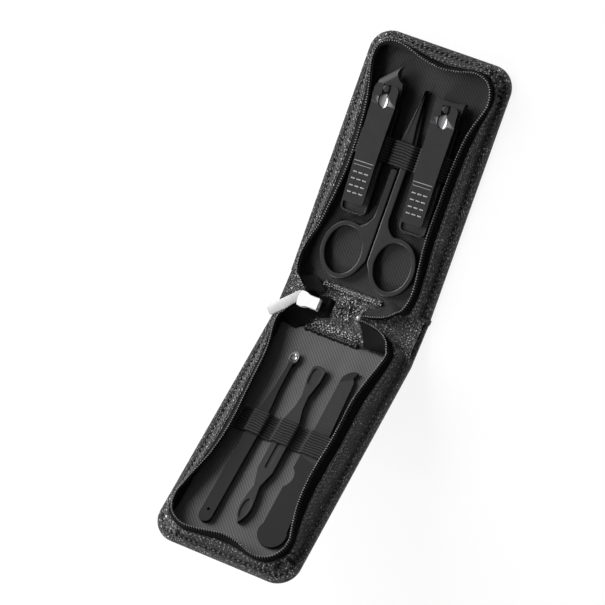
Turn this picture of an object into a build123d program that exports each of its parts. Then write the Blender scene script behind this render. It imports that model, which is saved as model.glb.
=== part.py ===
from build123d import *
from math import cos, radians, sin
import os

# ---------------------------------------------------------------- driving dimensions (mm, degrees)
case_width = 66.0            # across the case
panel_length = 112.0         # one cover panel, from its fold to its far end
spine_length = 19.5          # between the two folds
cover_corner_radius = 10.0
upper_fold_angle = 10.0      # how far the spine stands up from the flat upper half
lower_fold_angle = 19.0      # how far the lower half stands up from the spine

leather = 1.2                # cover leather
board = 1.4                  # stiffening board in each panel
board_inset = 4.6
lining = 1.2                 # padded lining on the board
lining_inset = 5.9
lining_radius = 6.0          # corners of board and lining beside the fold
spine_lining_thickness = 1.0
hem_thickness = 0.8
hem_width = 2.6
hem_from, hem_to = -12.6, 11.4   # its ends, seen with the upper half on top
flange = 1.0                 # hem of the gusset leather, sewn on the cover's edge
flange_width = 3.4
fold_clearance = 0.05        # round edge of the spine in the panel's hollow edge
fold_setback = 0.8           # boards, hems and walls stay this far clear of a closed fold

wall_thickness = 1.1
gusset_top = 6.0             # height of the leather wall
tape_top = 8.8               # height of the zip tape
coil_height = 1.4
coil_width = 2.6
coil_overhang = 0.4          # coil outside the tape
waist = 0.47                 # where the walls are pulled in most, as a share of the panel
corner_length = 9.0          # soft corner between the wall and the fold
corner_low = 4.4             # where the corner's edge ends, above the cover's outside
corner_to_stop = 12.0        # from the middle of the case to the corner at the zip's stop
corner_drop = 9.0            # in from the case's side, where the corners' edges start to drop

elastic = 0.6                # elastic band
elastic_width = 10.8
elastic_clearance = 0.3
elastic_end = 22.0           # from the middle of the case
upper_elastic_y = 58.2       # from the fold to the band's near edge
lower_elastic_y = 45.4
tool_clearance = 0.3         # a tool above the lining

# nail clippers, from their tails
clipper_length = 58.2        # square-jawed clipper
side_clipper_length = 65.2   # pointed, slanted jaws
jaw_reach, side_jaw_reach = 4.8, 11.8    # from the posts to the jaws' tips
clipper_tail_y = 34.3        # from the upper fold
clipper_x, clipper_turn = 14.4, 2.1
side_clipper_x, side_clipper_turn = -13.5, 2.0
post_y = clipper_length - jaw_reach
side_post_y = side_clipper_length - side_jaw_reach
arm_width = 10.2
jaw_width = 12.8
arm_thickness = 1.3
arm_root = 10.0              # length over which the two arms lie together
arm_gap = 0.05               # between the arms at the root
arm_opening = 4.7            # underside of the upper arm at the post
jaw_gap = 1.3                # between the cutting edges, at rest
jaw_edge = 3.1               # lower cutting edge above the base
edge_thickness = 0.25
catcher_wall = 0.8
catcher_height = 3.9
catcher_setback = 6.4        # catcher's mouth behind the post
catcher_clearance = 0.12
post_radius = 1.5
post_clearance = 0.06
post_play = 0.35             # the upper arm's hole round the post
post_top = 9.6
post_foot = 0.8              # countersunk foot in the lower arm
lever_width = 10.0
lever_thickness = 1.2
lever_arch = 6.9             # underside of the lever's middle
lever_tail = 3.2             # from the clipper's tail to the lever's
lever_step = 6.6             # rise to the fork, behind the post
lever_pin_height = 8.3       # cross-pin, above the lower arm's base
lever_pin_radius = 0.55
lever_pin_clearance = 0.06
lever_fork = 3.5             # width of the fork that takes the post
lever_nose = 1.7             # fork beyond the pin
lever_corner = 1.2           # corners of the lever's tail
tail_corner = 1.6            # corners of the arms' tails
keyhole_width, keyhole_length = 5.0, 6.4
rivet_radius = 1.6
rivet_clearance = 0.25
grip_rib = 0.25
grip_rows = [(21.0, (0,), 7.0), (19.4, (0,), 7.0)] + [
    (y, (-2.6, 0, 2.6), 1.8) for y in (16.3, 13.4, 10.4, 7.5)]
side_slant, side_reach = 43.4, 6.24      # direction of the pointed clipper's edge, and from its post

# scissors, from their pivot
scissor_x, scissor_pivot_y = -0.5, 65.0
scissor_tip = 27.8
blade_thickness = 1.4
blade_gap = 0.06
boss_radius = 4.2
loop_x, loop_y = 11.6, -47.5
loop_hole_x, loop_hole_y = 8.0, 10.3
loop_band = 2.4
loop_thickness = 2.8
shank_width = 3.2
shank_gap = 0.5
shank_top = -8.0
screw_radius = 1.3
screw_head_radius = 2.6
screw_head = 0.6
screw_clearance = 0.06

# tools of the lower half: place of the end nearest the fold, and sizes
pick_x, pick_y, pick_length, pick_thickness, pick_half = 13.1, 14.4, 86.0, 1.8, 2.9
pusher_x, pusher_y, pusher_length, pusher_thickness, pusher_half = 0.5, 16.8, 78.6, 2.0, 3.5
pusher_turn = 1.0
pusher_recess = 0.5          # dishes in its two ends and groove in its handle
file_x, file_y, file_length, file_thickness = -9.9, 13.2, 87.0, 1.3
file_bay_x, file_bay_half = 5.15, 4.85   # room for the widening file to slide under the band

# zip slider, stop and pull tab, on the spine
slider_inset, slider_y = 15.0, 9.4
slider_length, slider_width, slider_tail_width = 9.6, 6.6, 5.0
slider_plate, slider_throat, slider_rail = 1.0, 2.2, 0.6
bail_width, bail_leg, bail_opening, bail_height, bail_bar = 1.2, 1.0, 3.4, 1.6, 0.9
stop_x, stop_y, stop_length, stop_width, stop_height = -4.8, 9.4, 3.4, 4.6, 2.6
tab_length, tab_width, tab_thickness = 16.0, 3.6, 0.9
tab_eye, tab_eye_band = 1.9, 1.0
tab_turn = 36.0              # direction in which the tab lies, across the spine
tab_drop = 5.0               # how far it slopes down to the leather
bail_clearance = 0.2         # between the slider's bail and the spine's lining

os.makedirs("parts", exist_ok=True)

# ---------------------------------------------------------------- worked out from them
half_width = case_width / 2
fold_height = leather / 2
lining_base = leather + board
lining_top = lining_base + lining
tool_floor = lining_top + tool_clearance
rim_top = tape_top + coil_height
fold_inset = leather + fold_setback


def save(builder, name):
    builder.part.label = name
    export_step(builder.part, f"parts/{name}.step")


# Each half has a frame with its fold on y = 0, its far end on y = panel_length and z = 0 on
# the outside of the cover. The spine's frame runs from the upper fold in the same way. The
# frames of the spine and the lower half are turned half round, so their x points the other way.
def frame_beyond(fold, tilt):
    """Frame of the piece that runs away from a fold, raised by tilt degrees."""
    up = Vector(0, sin(radians(tilt)), cos(radians(tilt)))
    return Plane(origin=fold - up * fold_height, x_dir=(-1, 0, 0), z_dir=up)


upper = Plane(origin=(0, -panel_length / 2, 0), x_dir=(1, 0, 0), z_dir=(0, 0, 1))
upper_fold = upper.from_local_coords(Vector(0, 0, fold_height))
spine = frame_beyond(upper_fold, upper_fold_angle)
lower_fold = spine.from_local_coords(Vector(0, spine_length, fold_height))
lower = frame_beyond(lower_fold, upper_fold_angle + lower_fold_angle)


def spot(frame, x, y, z=0.0, turn=0.0):
    """A frame at x, y, z of another frame, turned about its z."""
    return Plane(frame.location * Location((x, y, z), (0, 0, turn)))


def side_plane(frame, x=0.0):
    """Sketch plane whose axes are the frame's y and z."""
    return Plane(origin=frame.from_local_coords(Vector(x, 0, 0)), x_dir=frame.y_dir, z_dir=frame.x_dir)


def front_plane(frame, y=0.0):
    """Sketch plane whose axes are the frame's x and z."""
    return Plane(origin=frame.from_local_coords(Vector(0, y, 0)), x_dir=frame.x_dir, z_dir=-frame.y_dir)


def zone(frame, low, high):
    """Box between two corners given in a frame, used to divide or cut a piece."""
    with BuildPart() as box:
        with BuildSketch(frame.offset(low[2])):
            with Locations(((low[0] + high[0]) / 2, (low[1] + high[1]) / 2)):
                Rectangle(high[0] - low[0], high[1] - low[1])
        extrude(amount=high[2] - low[2])
    return box.part


# ---------------------------------------------------------------- outlines of a half
def panel_outline(frame, z, inset, near, radius, near_radius=0.0):
    """Straight-sided outline, inset from the cover's edge and starting at y = near."""
    x, far = half_width - inset, panel_length - inset
    with BuildSketch(frame.offset(z)) as outline:
        with BuildLine():
            Polyline((-x, near), (x, near), (x, far), (-x, far), close=True)
        make_face()
        fillet(vertices().group_by(Axis.Y)[-1], radius)
        if near_radius:
            fillet(vertices().group_by(Axis.Y)[0], near_radius)
    return outline.sketch


# Levels of the wall: how far its outside lies in from the cover's edge near the fold, at the
# waist and at the far corners, how far the middle and corners of the far end do, and its y at
# the fold's side.
base_level = dict(z=leather + flange, near=2.6, side=2.6, far=2.6, hinge=0.6, far_end=2.6,
                  mid_end=2.6, radius=7.0, bowed=False)
leather_level = dict(z=gusset_top, near=6.0, side=6.9, far=4.8, hinge=0.4, far_end=4.4,
                     mid_end=5.6, radius=7.0, bowed=True)
rim_level = dict(z=tape_top, near=5.4, side=9.3, far=3.8, hinge=0.1, far_end=3.3,
                 mid_end=7.1, radius=8.0, bowed=True)


def level_outline(frame, level, grow=0.0):
    """Outline of the wall at one level; sides and end are pulled in between the corners."""
    near_x, side_x, far_x = (half_width - level[k] + grow for k in ("near", "side", "far"))
    far_y, end_y = (panel_length - level[k] + grow for k in ("far_end", "mid_end"))
    near_y = level["hinge"] - grow
    mid_y = panel_length * waist
    with BuildSketch(frame.offset(level["z"])) as outline:
        with BuildLine():
            if level["bowed"]:
                ThreePointArc((near_x, near_y), (side_x, mid_y), (far_x, far_y))
                ThreePointArc((far_x, far_y), (0, end_y), (-far_x, far_y))
                ThreePointArc((-far_x, far_y), (-side_x, mid_y), (-near_x, near_y))
                Line((-near_x, near_y), (near_x, near_y))
            else:
                Polyline((near_x, near_y), (far_x, far_y), (-far_x, far_y), (-near_x, near_y), close=True)
        make_face()
        fillet(vertices(), level["radius"] + grow)
    return outline.sketch


def wall_ring(frame, low, high):
    """Closed wall from one level to the next, its outside on the levels' outlines."""
    with BuildPart() as ring:
        loft(sections=[level_outline(frame, low), level_outline(frame, high)])
        loft(sections=[level_outline(frame, low, -wall_thickness),
                       level_outline(frame, high, -wall_thickness)], mode=Mode.SUBTRACT)
    return ring.part


def coil_ring(frame):
    """Closed ring of the zip coil on the tape's edge."""
    with BuildPart() as ring:
        extrude(level_outline(frame, rim_level, coil_overhang), amount=coil_height)
        extrude(level_outline(frame, rim_level, coil_overhang - coil_width), amount=coil_height,
                mode=Mode.SUBTRACT)
        levels = ring.faces().sort_by(Axis(frame.origin, frame.z_dir))
        fillet(levels[-1].edges() + levels[0].edges(), coil_height * 0.3)
    return ring.part


# ---------------------------------------------------------------- cover, boards and lining
def cover_panel(frame):
    """Flat leather of one half; its fold edge is hollowed round the spine's rolled edge."""
    with BuildPart() as panel:
        extrude(panel_outline(frame, 0, 0, 0, cover_corner_radius), amount=leather)
        with BuildSketch(side_plane(frame)):
            with Locations((0, fold_height)):
                Circle(fold_height + fold_clearance)
            with Locations((0, leather)):
                Rectangle(2 * (fold_height + fold_clearance), leather)
        extrude(amount=case_width, both=True, mode=Mode.SUBTRACT)
    return panel


def slab(frame, base, thickness, inset, edge):
    """Board or lining: flat, with its upper edges rounded."""
    with BuildPart() as sheet:
        extrude(panel_outline(frame, base, inset, fold_inset, cover_corner_radius - inset / 2, lining_radius),
                amount=thickness)
        fillet(sheet.faces().sort_by(Axis(frame.origin, frame.z_dir))[-1].edges(), edge)
    return sheet


def lining_hem(frame, middle):
    """Turned and stitched edge of the lining, along the fold between the zip's ends."""
    with BuildPart() as hem:
        with BuildSketch(frame.offset(lining_top)):
            with Locations((middle, fold_inset + hem_width / 2)):
                RectangleRounded(hem_to - hem_from, hem_width, hem_width * 0.3)
        extrude(amount=hem_thickness)
    return hem


# ---------------------------------------------------------------- gussets, zip tape and coil
def clear_of_fold(frame, ring):
    """What stands clear of the fold: both sides and the far end."""
    return ring & zone(frame, (-case_width, corner_length, 0), (case_width, panel_length + 5, 20))


def leather_wall(frame):
    """Wall standing on a hem that is sewn on the cover's edge."""
    with BuildPart() as wall:
        extrude(panel_outline(frame, leather, 0, fold_inset, cover_corner_radius), amount=flange)
        extrude(panel_outline(frame, leather, flange_width, 0, cover_corner_radius - flange_width),
                amount=flange, mode=Mode.SUBTRACT)
        add(wall_ring(frame, base_level, leather_level))
    return wall.part


def gusset(frame):
    with BuildPart() as wall:
        add(clear_of_fold(frame, leather_wall(frame)))
    return wall


def zip_tape(frame):
    with BuildPart() as tape:
        add(clear_of_fold(frame, wall_ring(frame, leather_level, rim_level)))
    return tape


def zip_coil(frame):
    with BuildPart() as coil:
        add(clear_of_fold(frame, coil_ring(frame)))
    return coil


def corner_zone(frame, side, reach):
    low, high = sorted((side * reach, side * case_width))
    return zone(frame, (low, -5, 0), (high, corner_length, 20))


def corner(frame, side, reach):
    """Soft corner beside the fold: the wall turns in there and drops towards the zip's end."""
    high_x = half_width - corner_drop
    with BuildPart() as piece:
        add(leather_wall(frame) & corner_zone(frame, side, reach))
        add(wall_ring(frame, leather_level, rim_level) & corner_zone(frame, side, reach))
        with BuildSketch(front_plane(frame)):
            with BuildLine():
                Polyline((side * high_x, tape_top), (0, tape_top), (0, corner_low),
                         (side * reach, corner_low), close=True)
            make_face()
        extrude(amount=corner_length, both=True, mode=Mode.SUBTRACT)
    return piece


def coil_end(frame, side, reach):
    """End of the zip coil on that corner, running down its sloping edge."""
    high_x = half_width - corner_drop
    middle_y = rim_level["hinge"] - coil_overhang + coil_width / 2
    with BuildPart() as coil:
        add(coil_ring(frame) & corner_zone(frame, side, max(reach, high_x)))
        if reach < high_x:
            top = Vector(side * high_x, middle_y, tape_top + coil_height * 0.55)
            foot = Vector(side * reach, middle_y, corner_low + coil_height * 0.55)
            run = Plane(origin=frame.from_local_coords(top), x_dir=frame.y_dir,
                        z_dir=frame.from_local_coords(foot) - frame.from_local_coords(top))
            with BuildSketch(run):
                RectangleRounded(coil_width, coil_height, coil_height * 0.3)
            extrude(amount=(foot - top).length)
    return coil


# ---------------------------------------------------------------- elastic bands
def elastic_band(frame, near, bays):
    """Band on the lining; each bay is (middle, half-width of its foot and crown, shoulder, top)."""
    with BuildPart() as band:
        with BuildSketch(front_plane(frame, near)):
            with Locations((0, lining_top + elastic / 2)):
                Rectangle(2 * elastic_end, elastic)
            for grow, mode in ((elastic, Mode.ADD), (0, Mode.SUBTRACT)):
                for middle, foot, crown, shoulder, top in bays:
                    with BuildLine():
                        Polyline((middle - foot - grow, lining_top), (middle - foot - grow, shoulder),
                                 (middle - crown - grow / 2, top + grow),
                                 (middle + crown + grow / 2, top + grow),
                                 (middle + foot + grow, shoulder), (middle + foot + grow, lining_top),
                                 close=True)
                    make_face(mode=mode)
        extrude(amount=-elastic_width)
    return band


def arm_top(y, post_at):
    """Top of a clipper's upper arm above its base, at y from the tail."""
    rise = (arm_opening - arm_thickness - arm_gap) / (post_at - 8 - arm_root)
    return 2 * arm_thickness + arm_gap + rise * max(0.0, y - arm_root)


band_far = upper_elastic_y + elastic_width
catcher_half = arm_width / 2 + catcher_clearance + catcher_wall


def clipper_bay(x, turn, post_at):
    """Bay of the upper band over a clipper's arms, under its lever."""
    middle = x - (upper_elastic_y + elastic_width / 2 - clipper_tail_y) * sin(radians(turn))
    lean = elastic_width / 2 * sin(radians(turn))
    return (middle, catcher_half + lean + elastic_clearance, arm_width / 2 + lean + elastic_clearance,
            tool_floor + catcher_height + elastic_clearance,
            tool_floor + arm_top(band_far - clipper_tail_y, post_at) + elastic_clearance)


scissor_top = tool_floor + 2 * blade_thickness + blade_gap + screw_head
upper_bays = [clipper_bay(clipper_x, clipper_turn, post_y),
              clipper_bay(side_clipper_x, side_clipper_turn, side_post_y),
              (scissor_x, boss_radius + 1.0, boss_radius - 0.6, tool_floor + loop_thickness - 0.6,
               scissor_top + elastic_clearance)]


def bay_over(x, half, height):
    """Bay of the lower band over a flat tool."""
    return (x, half + elastic_clearance, half + 0.2, tool_floor + height * 0.4,
            tool_floor + height + elastic_clearance)


band_middle = lower_elastic_y + elastic_width / 2
lower_bays = [bay_over(pick_x, pick_half + 0.1, pick_thickness),
              bay_over(pusher_x - (band_middle - pusher_y) * sin(radians(pusher_turn)), pusher_half + 0.1,
                       pusher_thickness),
              bay_over(file_x - file_bay_x, file_bay_half, file_thickness)]


# ---------------------------------------------------------------- the two halves
for name, frame, turned, near, bays in (("upper", upper, 1, upper_elastic_y, upper_bays),
                                        ("lower", lower, -1, lower_elastic_y, lower_bays)):
    save(cover_panel(frame), f"{name}_cover_panel")
    save(slab(frame, leather, board, board_inset, 0.2), f"{name}_board")
    save(slab(frame, lining_base, lining, lining_inset, 0.5), f"{name}_lining")
    save(lining_hem(frame, turned * (hem_from + hem_to) / 2), f"{name}_lining_hem")
    save(gusset(frame), f"{name}_gusset")
    save(zip_tape(frame), f"{name}_zip_tape")
    save(zip_coil(frame), f"{name}_zip_coil")
    save(elastic_band(frame, near, bays), f"{name}_elastic_band")
    for place, side, reach in (("stop", turned, corner_to_stop),
                               ("slider", -turned, half_width - corner_drop)):
        save(corner(frame, side, reach), f"{name}_corner_by_{place}")
        save(coil_end(frame, side, reach), f"{name}_coil_end_by_{place}")


# ---------------------------------------------------------------- spine
with BuildPart() as spine_leather:
    with BuildSketch(side_plane(spine)):
        with Locations((spine_length / 2, fold_height)):
            SlotCenterToCenter(spine_length, leather)
    extrude(amount=half_width, both=True)
save(spine_leather, "spine_leather")

with BuildPart() as spine_lining:
    with BuildSketch(spine.offset(leather)):
        with Locations((0, spine_length / 2)):
            RectangleRounded(case_width - 2 * flange_width, spine_length - 2 * fold_inset, 1.5)
    extrude(amount=spine_lining_thickness)
save(spine_lining, "spine_lining")


# ---------------------------------------------------------------- zip stop, slider and pull tab
spine_floor = leather + spine_lining_thickness
with BuildPart() as zip_stop:
    with BuildSketch(spot(spine, stop_x, stop_y, spine_floor)):
        RectangleRounded(stop_length, stop_width, 0.8)
    extrude(amount=stop_height)
    with BuildSketch(spot(spine, stop_x, stop_y, spine_floor + stop_height * 0.35)):
        Rectangle(stop_length + 1, stop_width * 0.16)
    extrude(amount=stop_height, mode=Mode.SUBTRACT)
save(zip_stop, "zip_stop")

bail_drop = bail_height + bail_bar
slider_frame = spot(spine, half_width - slider_inset, slider_y, spine_floor + bail_clearance + bail_drop)
bail_length = bail_opening + 2 * bail_leg
bail_x = slider_length / 2 - bail_length / 2


def slider_outline(z, shrink=0.0):
    """Plan of the slider's plates: wide, rounded nose at +x and a narrower tail."""
    nose, tail, half = slider_width / 2 - shrink, slider_tail_width / 2 - shrink, slider_length / 2
    with BuildSketch(slider_frame.offset(z)) as outline:
        with BuildLine():
            Polyline((half - 0.8, nose), (half * 0.45, nose), (0, tail), (-half, tail), (-half, -tail),
                     (0, -tail), (half * 0.45, -nose), (half - 0.8, -nose))
            ThreePointArc((half - 0.8, -nose), (half, 0), (half - 0.8, nose))
        make_face()
    return outline.sketch


with BuildPart() as zip_slider_body:
    for z in (0, slider_plate + slider_throat):
        extrude(slider_outline(z), amount=slider_plate)
    for z in (slider_plate, slider_plate + slider_throat - slider_rail):
        extrude(slider_outline(z), amount=slider_rail)
        extrude(slider_outline(z, slider_rail), amount=slider_rail, mode=Mode.SUBTRACT)
    inside = slider_width / 2 - 2 * slider_rail
    add(zone(slider_frame, (-slider_length, -inside, slider_plate),
             (slider_length, inside, slider_plate + slider_throat)), mode=Mode.SUBTRACT)
    with BuildSketch(slider_frame.offset(slider_plate)):
        with Locations((slider_length / 2 - 1.7, 0)):
            RectangleRounded(2.6, 1.5, 0.6)
    extrude(amount=slider_throat)
    with BuildSketch(front_plane(slider_frame, -bail_width / 2)):
        with Locations((bail_x, -bail_drop / 2)):
            Rectangle(bail_length, bail_drop)
        with Locations((bail_x, -bail_height / 2)):
            Rectangle(bail_opening, bail_height, mode=Mode.SUBTRACT)
    extrude(amount=-bail_width)
save(zip_slider_body, "zip_slider_body")

# The bail and the tab are on the outside of the closed zip, here under the slider. The tab's
# eye takes the bail's leg at the nose, so the tab swings about that leg.
leg_x = bail_x + (bail_opening + bail_leg) / 2
eye_x = tab_eye + tab_eye_band / 2
tab_pivot = spot(spot(slider_frame, leg_x, 0, -bail_height * 0.5, tab_turn), 0.8 - eye_x, 0)
slope_cos, slope_sin = cos(radians(tab_drop)), sin(radians(tab_drop))
tab_frame = Plane(origin=tab_pivot.origin,
                  x_dir=tab_pivot.x_dir * slope_cos - tab_pivot.z_dir * slope_sin,
                  z_dir=tab_pivot.z_dir * slope_cos + tab_pivot.x_dir * slope_sin)
with BuildPart() as zip_pull_tab:
    with BuildSketch(tab_frame.offset(-tab_thickness / 2)):
        with Locations((eye_x, 0)):
            Circle(tab_eye + tab_eye_band)
        with Locations(((tab_length + eye_x) / 2, 0)):
            RectangleRounded(tab_length - eye_x, tab_width, tab_width * 0.45)
        with Locations((eye_x + tab_eye + 1.0, 0)):
            Rectangle(2.6, tab_width * 0.96)
        with Locations((eye_x, 0)):
            Circle(tab_eye, mode=Mode.SUBTRACT)
        with Locations((tab_length - 3.0, 0)):
            SlotOverall(2.6, 1.2, mode=Mode.SUBTRACT)
    extrude(amount=tab_thickness)
save(zip_pull_tab, "zip_pull_tab")


# ---------------------------------------------------------------- nail clippers
def round_post(frame, radius, slack, top):
    """Post with a countersunk foot, about the z of a frame."""
    with BuildPart() as post:
        with BuildSketch(side_plane(frame)):
            with BuildLine():
                Polyline((0, 0), (radius + post_foot, 0), (radius, post_foot + slack), (radius, top),
                         (0, top), close=True)
            make_face()
        revolve(axis=Axis(frame.origin, frame.z_dir))
    return post.part


def straight_plan(frame, post_at):
    """Plan of an arm with straight jaws and a hollow cutting edge, tail at y = 0."""
    arm, jaw, tip = arm_width / 2, jaw_width / 2, post_at + jaw_reach
    with BuildSketch(frame) as plan:
        with BuildLine():
            Polyline((arm, 0), (arm, post_at - 6), (jaw, post_at + 0.5), (jaw, tip))
            ThreePointArc((jaw, tip), (0, tip - 1.2), (-jaw, tip))
            Polyline((-jaw, tip), (-jaw, post_at + 0.5), (-arm, post_at - 6), (-arm, 0), (arm, 0))
        make_face()
        fillet(vertices().group_by(Axis.Y)[0], tail_corner)
    return plan.sketch


def pointed_plan(frame, post_at):
    """Plan of an arm whose slanted edge runs up to a beak on its +x side."""
    arm, jaw = arm_width / 2, jaw_width / 2
    end = post_at + side_jaw_reach
    tip, notch = (3.4, end), (1.6, end - 4.4)
    with BuildSketch(frame) as plan:
        with BuildLine():
            Polyline((arm, 0), (arm, post_at - 6), (jaw - 0.5, post_at - 0.5), (jaw * 0.8, post_at + 3.8))
            ThreePointArc((jaw * 0.8, post_at + 3.8), (2.6, end - 6.2), notch)
            ThreePointArc(notch, (1.9, end - 2.0), tip)
            Polyline(tip, (0.5 - jaw, post_at + 3.0), (0.5 - jaw, post_at - 0.5), (-arm, post_at - 6),
                     (-arm, 0), (arm, 0))
        make_face()
        fillet(vertices().group_by(Axis.Y)[0], tail_corner)
    return plan.sketch


def clipper_arm(frame, plan, post_at, slant, reach, inner, outer):
    """Arm rolled from sheet. Its jaw curls towards the other one, up to the cutting edge that
    runs at the slant, at a reach from the post. Levels are (at the root, open, at the edge)."""
    bend = post_at - 8
    curl = reach - 3.0
    with BuildPart() as jaw:
        with BuildSketch(side_plane(spot(frame, 0, post_at, 0, slant))):
            with BuildLine():
                Polyline((curl, outer[1]), (-30, outer[1]), (-30, inner[1]), (curl, inner[1]))
                ThreePointArc((curl, inner[1]), (curl + 1.9, inner[1] + (inner[2] - inner[1]) * 0.42),
                              (reach + 0.1, inner[2]))
                Line((reach + 0.1, inner[2]), (reach + 0.1, outer[2]))
                ThreePointArc((reach + 0.1, outer[2]), (curl + 1.9, outer[1] + (outer[2] - outer[1]) * 0.42),
                              (curl, outer[1]))
            make_face()
        extrude(amount=30, both=True)
        add(zone(frame, (-jaw_width, bend, -1), (jaw_width, 2 * post_at, 12)), mode=Mode.INTERSECT)
    with BuildPart() as arm:
        with BuildSketch(side_plane(frame)):
            with BuildLine():
                Polyline((0, inner[0]), (arm_root, inner[0]), (bend, inner[1]), (bend, outer[1]),
                         (arm_root, outer[0]), (0, outer[0]), close=True)
            make_face()
        extrude(amount=jaw_width, both=True)
        add(jaw.part)
        extrude(plan(frame.offset(-1), post_at), amount=12, mode=Mode.INTERSECT)
    return arm.part


def lever_top(y, middle, step):
    """Height of the lever's gently arched back, at y from the clipper's tail."""
    return lever_arch + lever_thickness - 0.7 * ((y - middle) / (step - middle)) ** 2


def lever(frame, post_at):
    """Lever folded down over the arms: arched plate stepping up to the fork at the post."""
    nose, step = post_at + lever_nose, post_at - lever_step
    middle = (lever_tail + step) / 2
    low, high = lever_pin_height - lever_thickness / 2, lever_pin_height + lever_thickness / 2
    with BuildPart() as part:
        with BuildSketch(side_plane(frame)):
            with BuildLine():
                ThreePointArc((lever_tail, lever_arch - 0.7), (middle, lever_arch), (step, lever_arch - 0.55))
                Polyline((step, lever_arch - 0.55), (step + 3.2, low), (nose, low), (nose, high),
                         (step + 2.8, high), (step - 0.4, lever_arch + lever_thickness - 0.6))
                ThreePointArc((step - 0.4, lever_arch + lever_thickness - 0.6),
                              (middle, lever_arch + lever_thickness),
                              (lever_tail, lever_arch + lever_thickness - 0.7))
                Line((lever_tail, lever_arch + lever_thickness - 0.7), (lever_tail, lever_arch - 0.7))
            make_face()
        extrude(amount=lever_width, both=True)
        with BuildSketch(frame):
            with BuildLine():
                Polyline((lever_width * 0.48, lever_tail), (lever_width * 0.5, middle - 1.3),
                         (lever_width * 0.55, step - 0.8), (lever_width * 0.55, post_at - 1))
                ThreePointArc((lever_width * 0.55, post_at - 1), (lever_width * 0.51, nose - 1.0),
                              (lever_width * 0.42, nose))
                Line((lever_width * 0.42, nose), (-lever_width * 0.42, nose))
                ThreePointArc((-lever_width * 0.42, nose), (-lever_width * 0.51, nose - 1.0),
                              (-lever_width * 0.55, post_at - 1))
                Polyline((-lever_width * 0.55, post_at - 1), (-lever_width * 0.55, step - 0.8),
                         (-lever_width * 0.5, middle - 1.3), (-lever_width * 0.48, lever_tail),
                         (lever_width * 0.48, lever_tail))
            make_face()
            fillet(vertices().group_by(Axis.Y)[0], lever_corner)
        extrude(amount=12, mode=Mode.INTERSECT)
        with BuildSketch(frame):
            with Locations((0, post_at + 5)):
                SlotCenterToCenter(13.0, lever_fork, rotation=90)
            with Locations((0, post_at - 5.2)):
                Ellipse(keyhole_width / 2, keyhole_length / 2)
        extrude(amount=12, mode=Mode.SUBTRACT)
        with BuildSketch(side_plane(frame, -lever_fork / 2 - 0.5)):
            with Locations((post_at, lever_pin_height)):
                Circle(lever_pin_radius)
        extrude(amount=lever_fork + 1)
        for y, spots, length in grip_rows:
            with BuildSketch(frame.offset(lever_top(y, middle, step) - 0.4)):
                with Locations(*((x, y) for x in spots)):
                    RectangleRounded(length, 0.6, 0.25)
            extrude(amount=0.4 + grip_rib)
    return part


def clipper(name, frame, plan, post_at, slant, reach):
    """The six pieces of a nail clipper lying on its lower arm, tail at y = 0."""
    post_spot, rivet_spot = spot(frame, 0, post_at), spot(frame, 0, arm_root / 2)
    catcher_length = post_at - catcher_setback
    with BuildPart() as lower_jaw:
        add(clipper_arm(frame, plan, post_at, slant, reach, (arm_thickness, arm_thickness, jaw_edge),
                        (0, 0, jaw_edge - edge_thickness)))
        add(round_post(post_spot, post_radius + post_clearance, 0, 3), mode=Mode.SUBTRACT)
        with BuildSketch(rivet_spot):
            Circle(rivet_radius)
        extrude(amount=arm_thickness, mode=Mode.SUBTRACT)
    save(lower_jaw, f"{name}_lower_jaw")

    under = arm_thickness + arm_gap
    with BuildPart() as upper_jaw:
        add(clipper_arm(frame, plan, post_at, slant, reach, (under, arm_opening, jaw_edge + jaw_gap),
                        (under + arm_thickness, arm_opening + arm_thickness,
                         jaw_edge + jaw_gap + edge_thickness)))
        with BuildSketch(post_spot):
            Circle(post_radius + post_play)
        extrude(amount=12, mode=Mode.SUBTRACT)
        with BuildSketch(rivet_spot):
            Circle(rivet_radius + rivet_clearance)
        extrude(amount=12, mode=Mode.SUBTRACT)
    save(upper_jaw, f"{name}_upper_jaw")

    inside = arm_width / 2 + catcher_clearance
    with BuildPart() as catcher:
        with BuildSketch(frame):
            for side, mode in ((catcher_half, Mode.ADD), (inside, Mode.SUBTRACT)):
                grow = side - arm_width / 2
                with Locations((0, catcher_length / 2 + 2)):
                    RectangleRounded(2 * side, catcher_length + 4 + 2 * grow, tail_corner + grow, mode=mode)
            with Locations((0, catcher_length + 5)):
                Rectangle(4 * catcher_half, 10, mode=Mode.SUBTRACT)
        extrude(amount=catcher_height)
    save(catcher, f"{name}_catcher")

    with BuildPart() as rear_rivet:
        with BuildSketch(rivet_spot):
            Circle(rivet_radius)
        extrude(amount=under + arm_thickness - 0.1)
    save(rear_rivet, f"{name}_rear_rivet")

    with BuildPart() as post:
        add(round_post(post_spot, post_radius, -post_clearance, post_top))
        fillet(post.edges().sort_by(Axis(frame.origin, frame.z_dir))[-1], 0.5)
        with BuildSketch(side_plane(post_spot, -post_radius * 2)):
            with Locations((0, lever_pin_height)):
                Circle(lever_pin_radius + lever_pin_clearance)
        extrude(amount=post_radius * 4, mode=Mode.SUBTRACT)
    save(post, f"{name}_post")
    save(lever(frame, post_at), f"{name}_lever")


clipper("square_clipper", spot(upper, clipper_x, clipper_tail_y, tool_floor, clipper_turn),
        straight_plan, post_y, 0, jaw_reach)
clipper("side_clipper", spot(upper, side_clipper_x, clipper_tail_y, tool_floor, side_clipper_turn),
        pointed_plan, side_post_y, side_slant, side_reach)


# ---------------------------------------------------------------- scissors
pivot = spot(upper, scissor_x, scissor_pivot_y, tool_floor)


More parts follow.
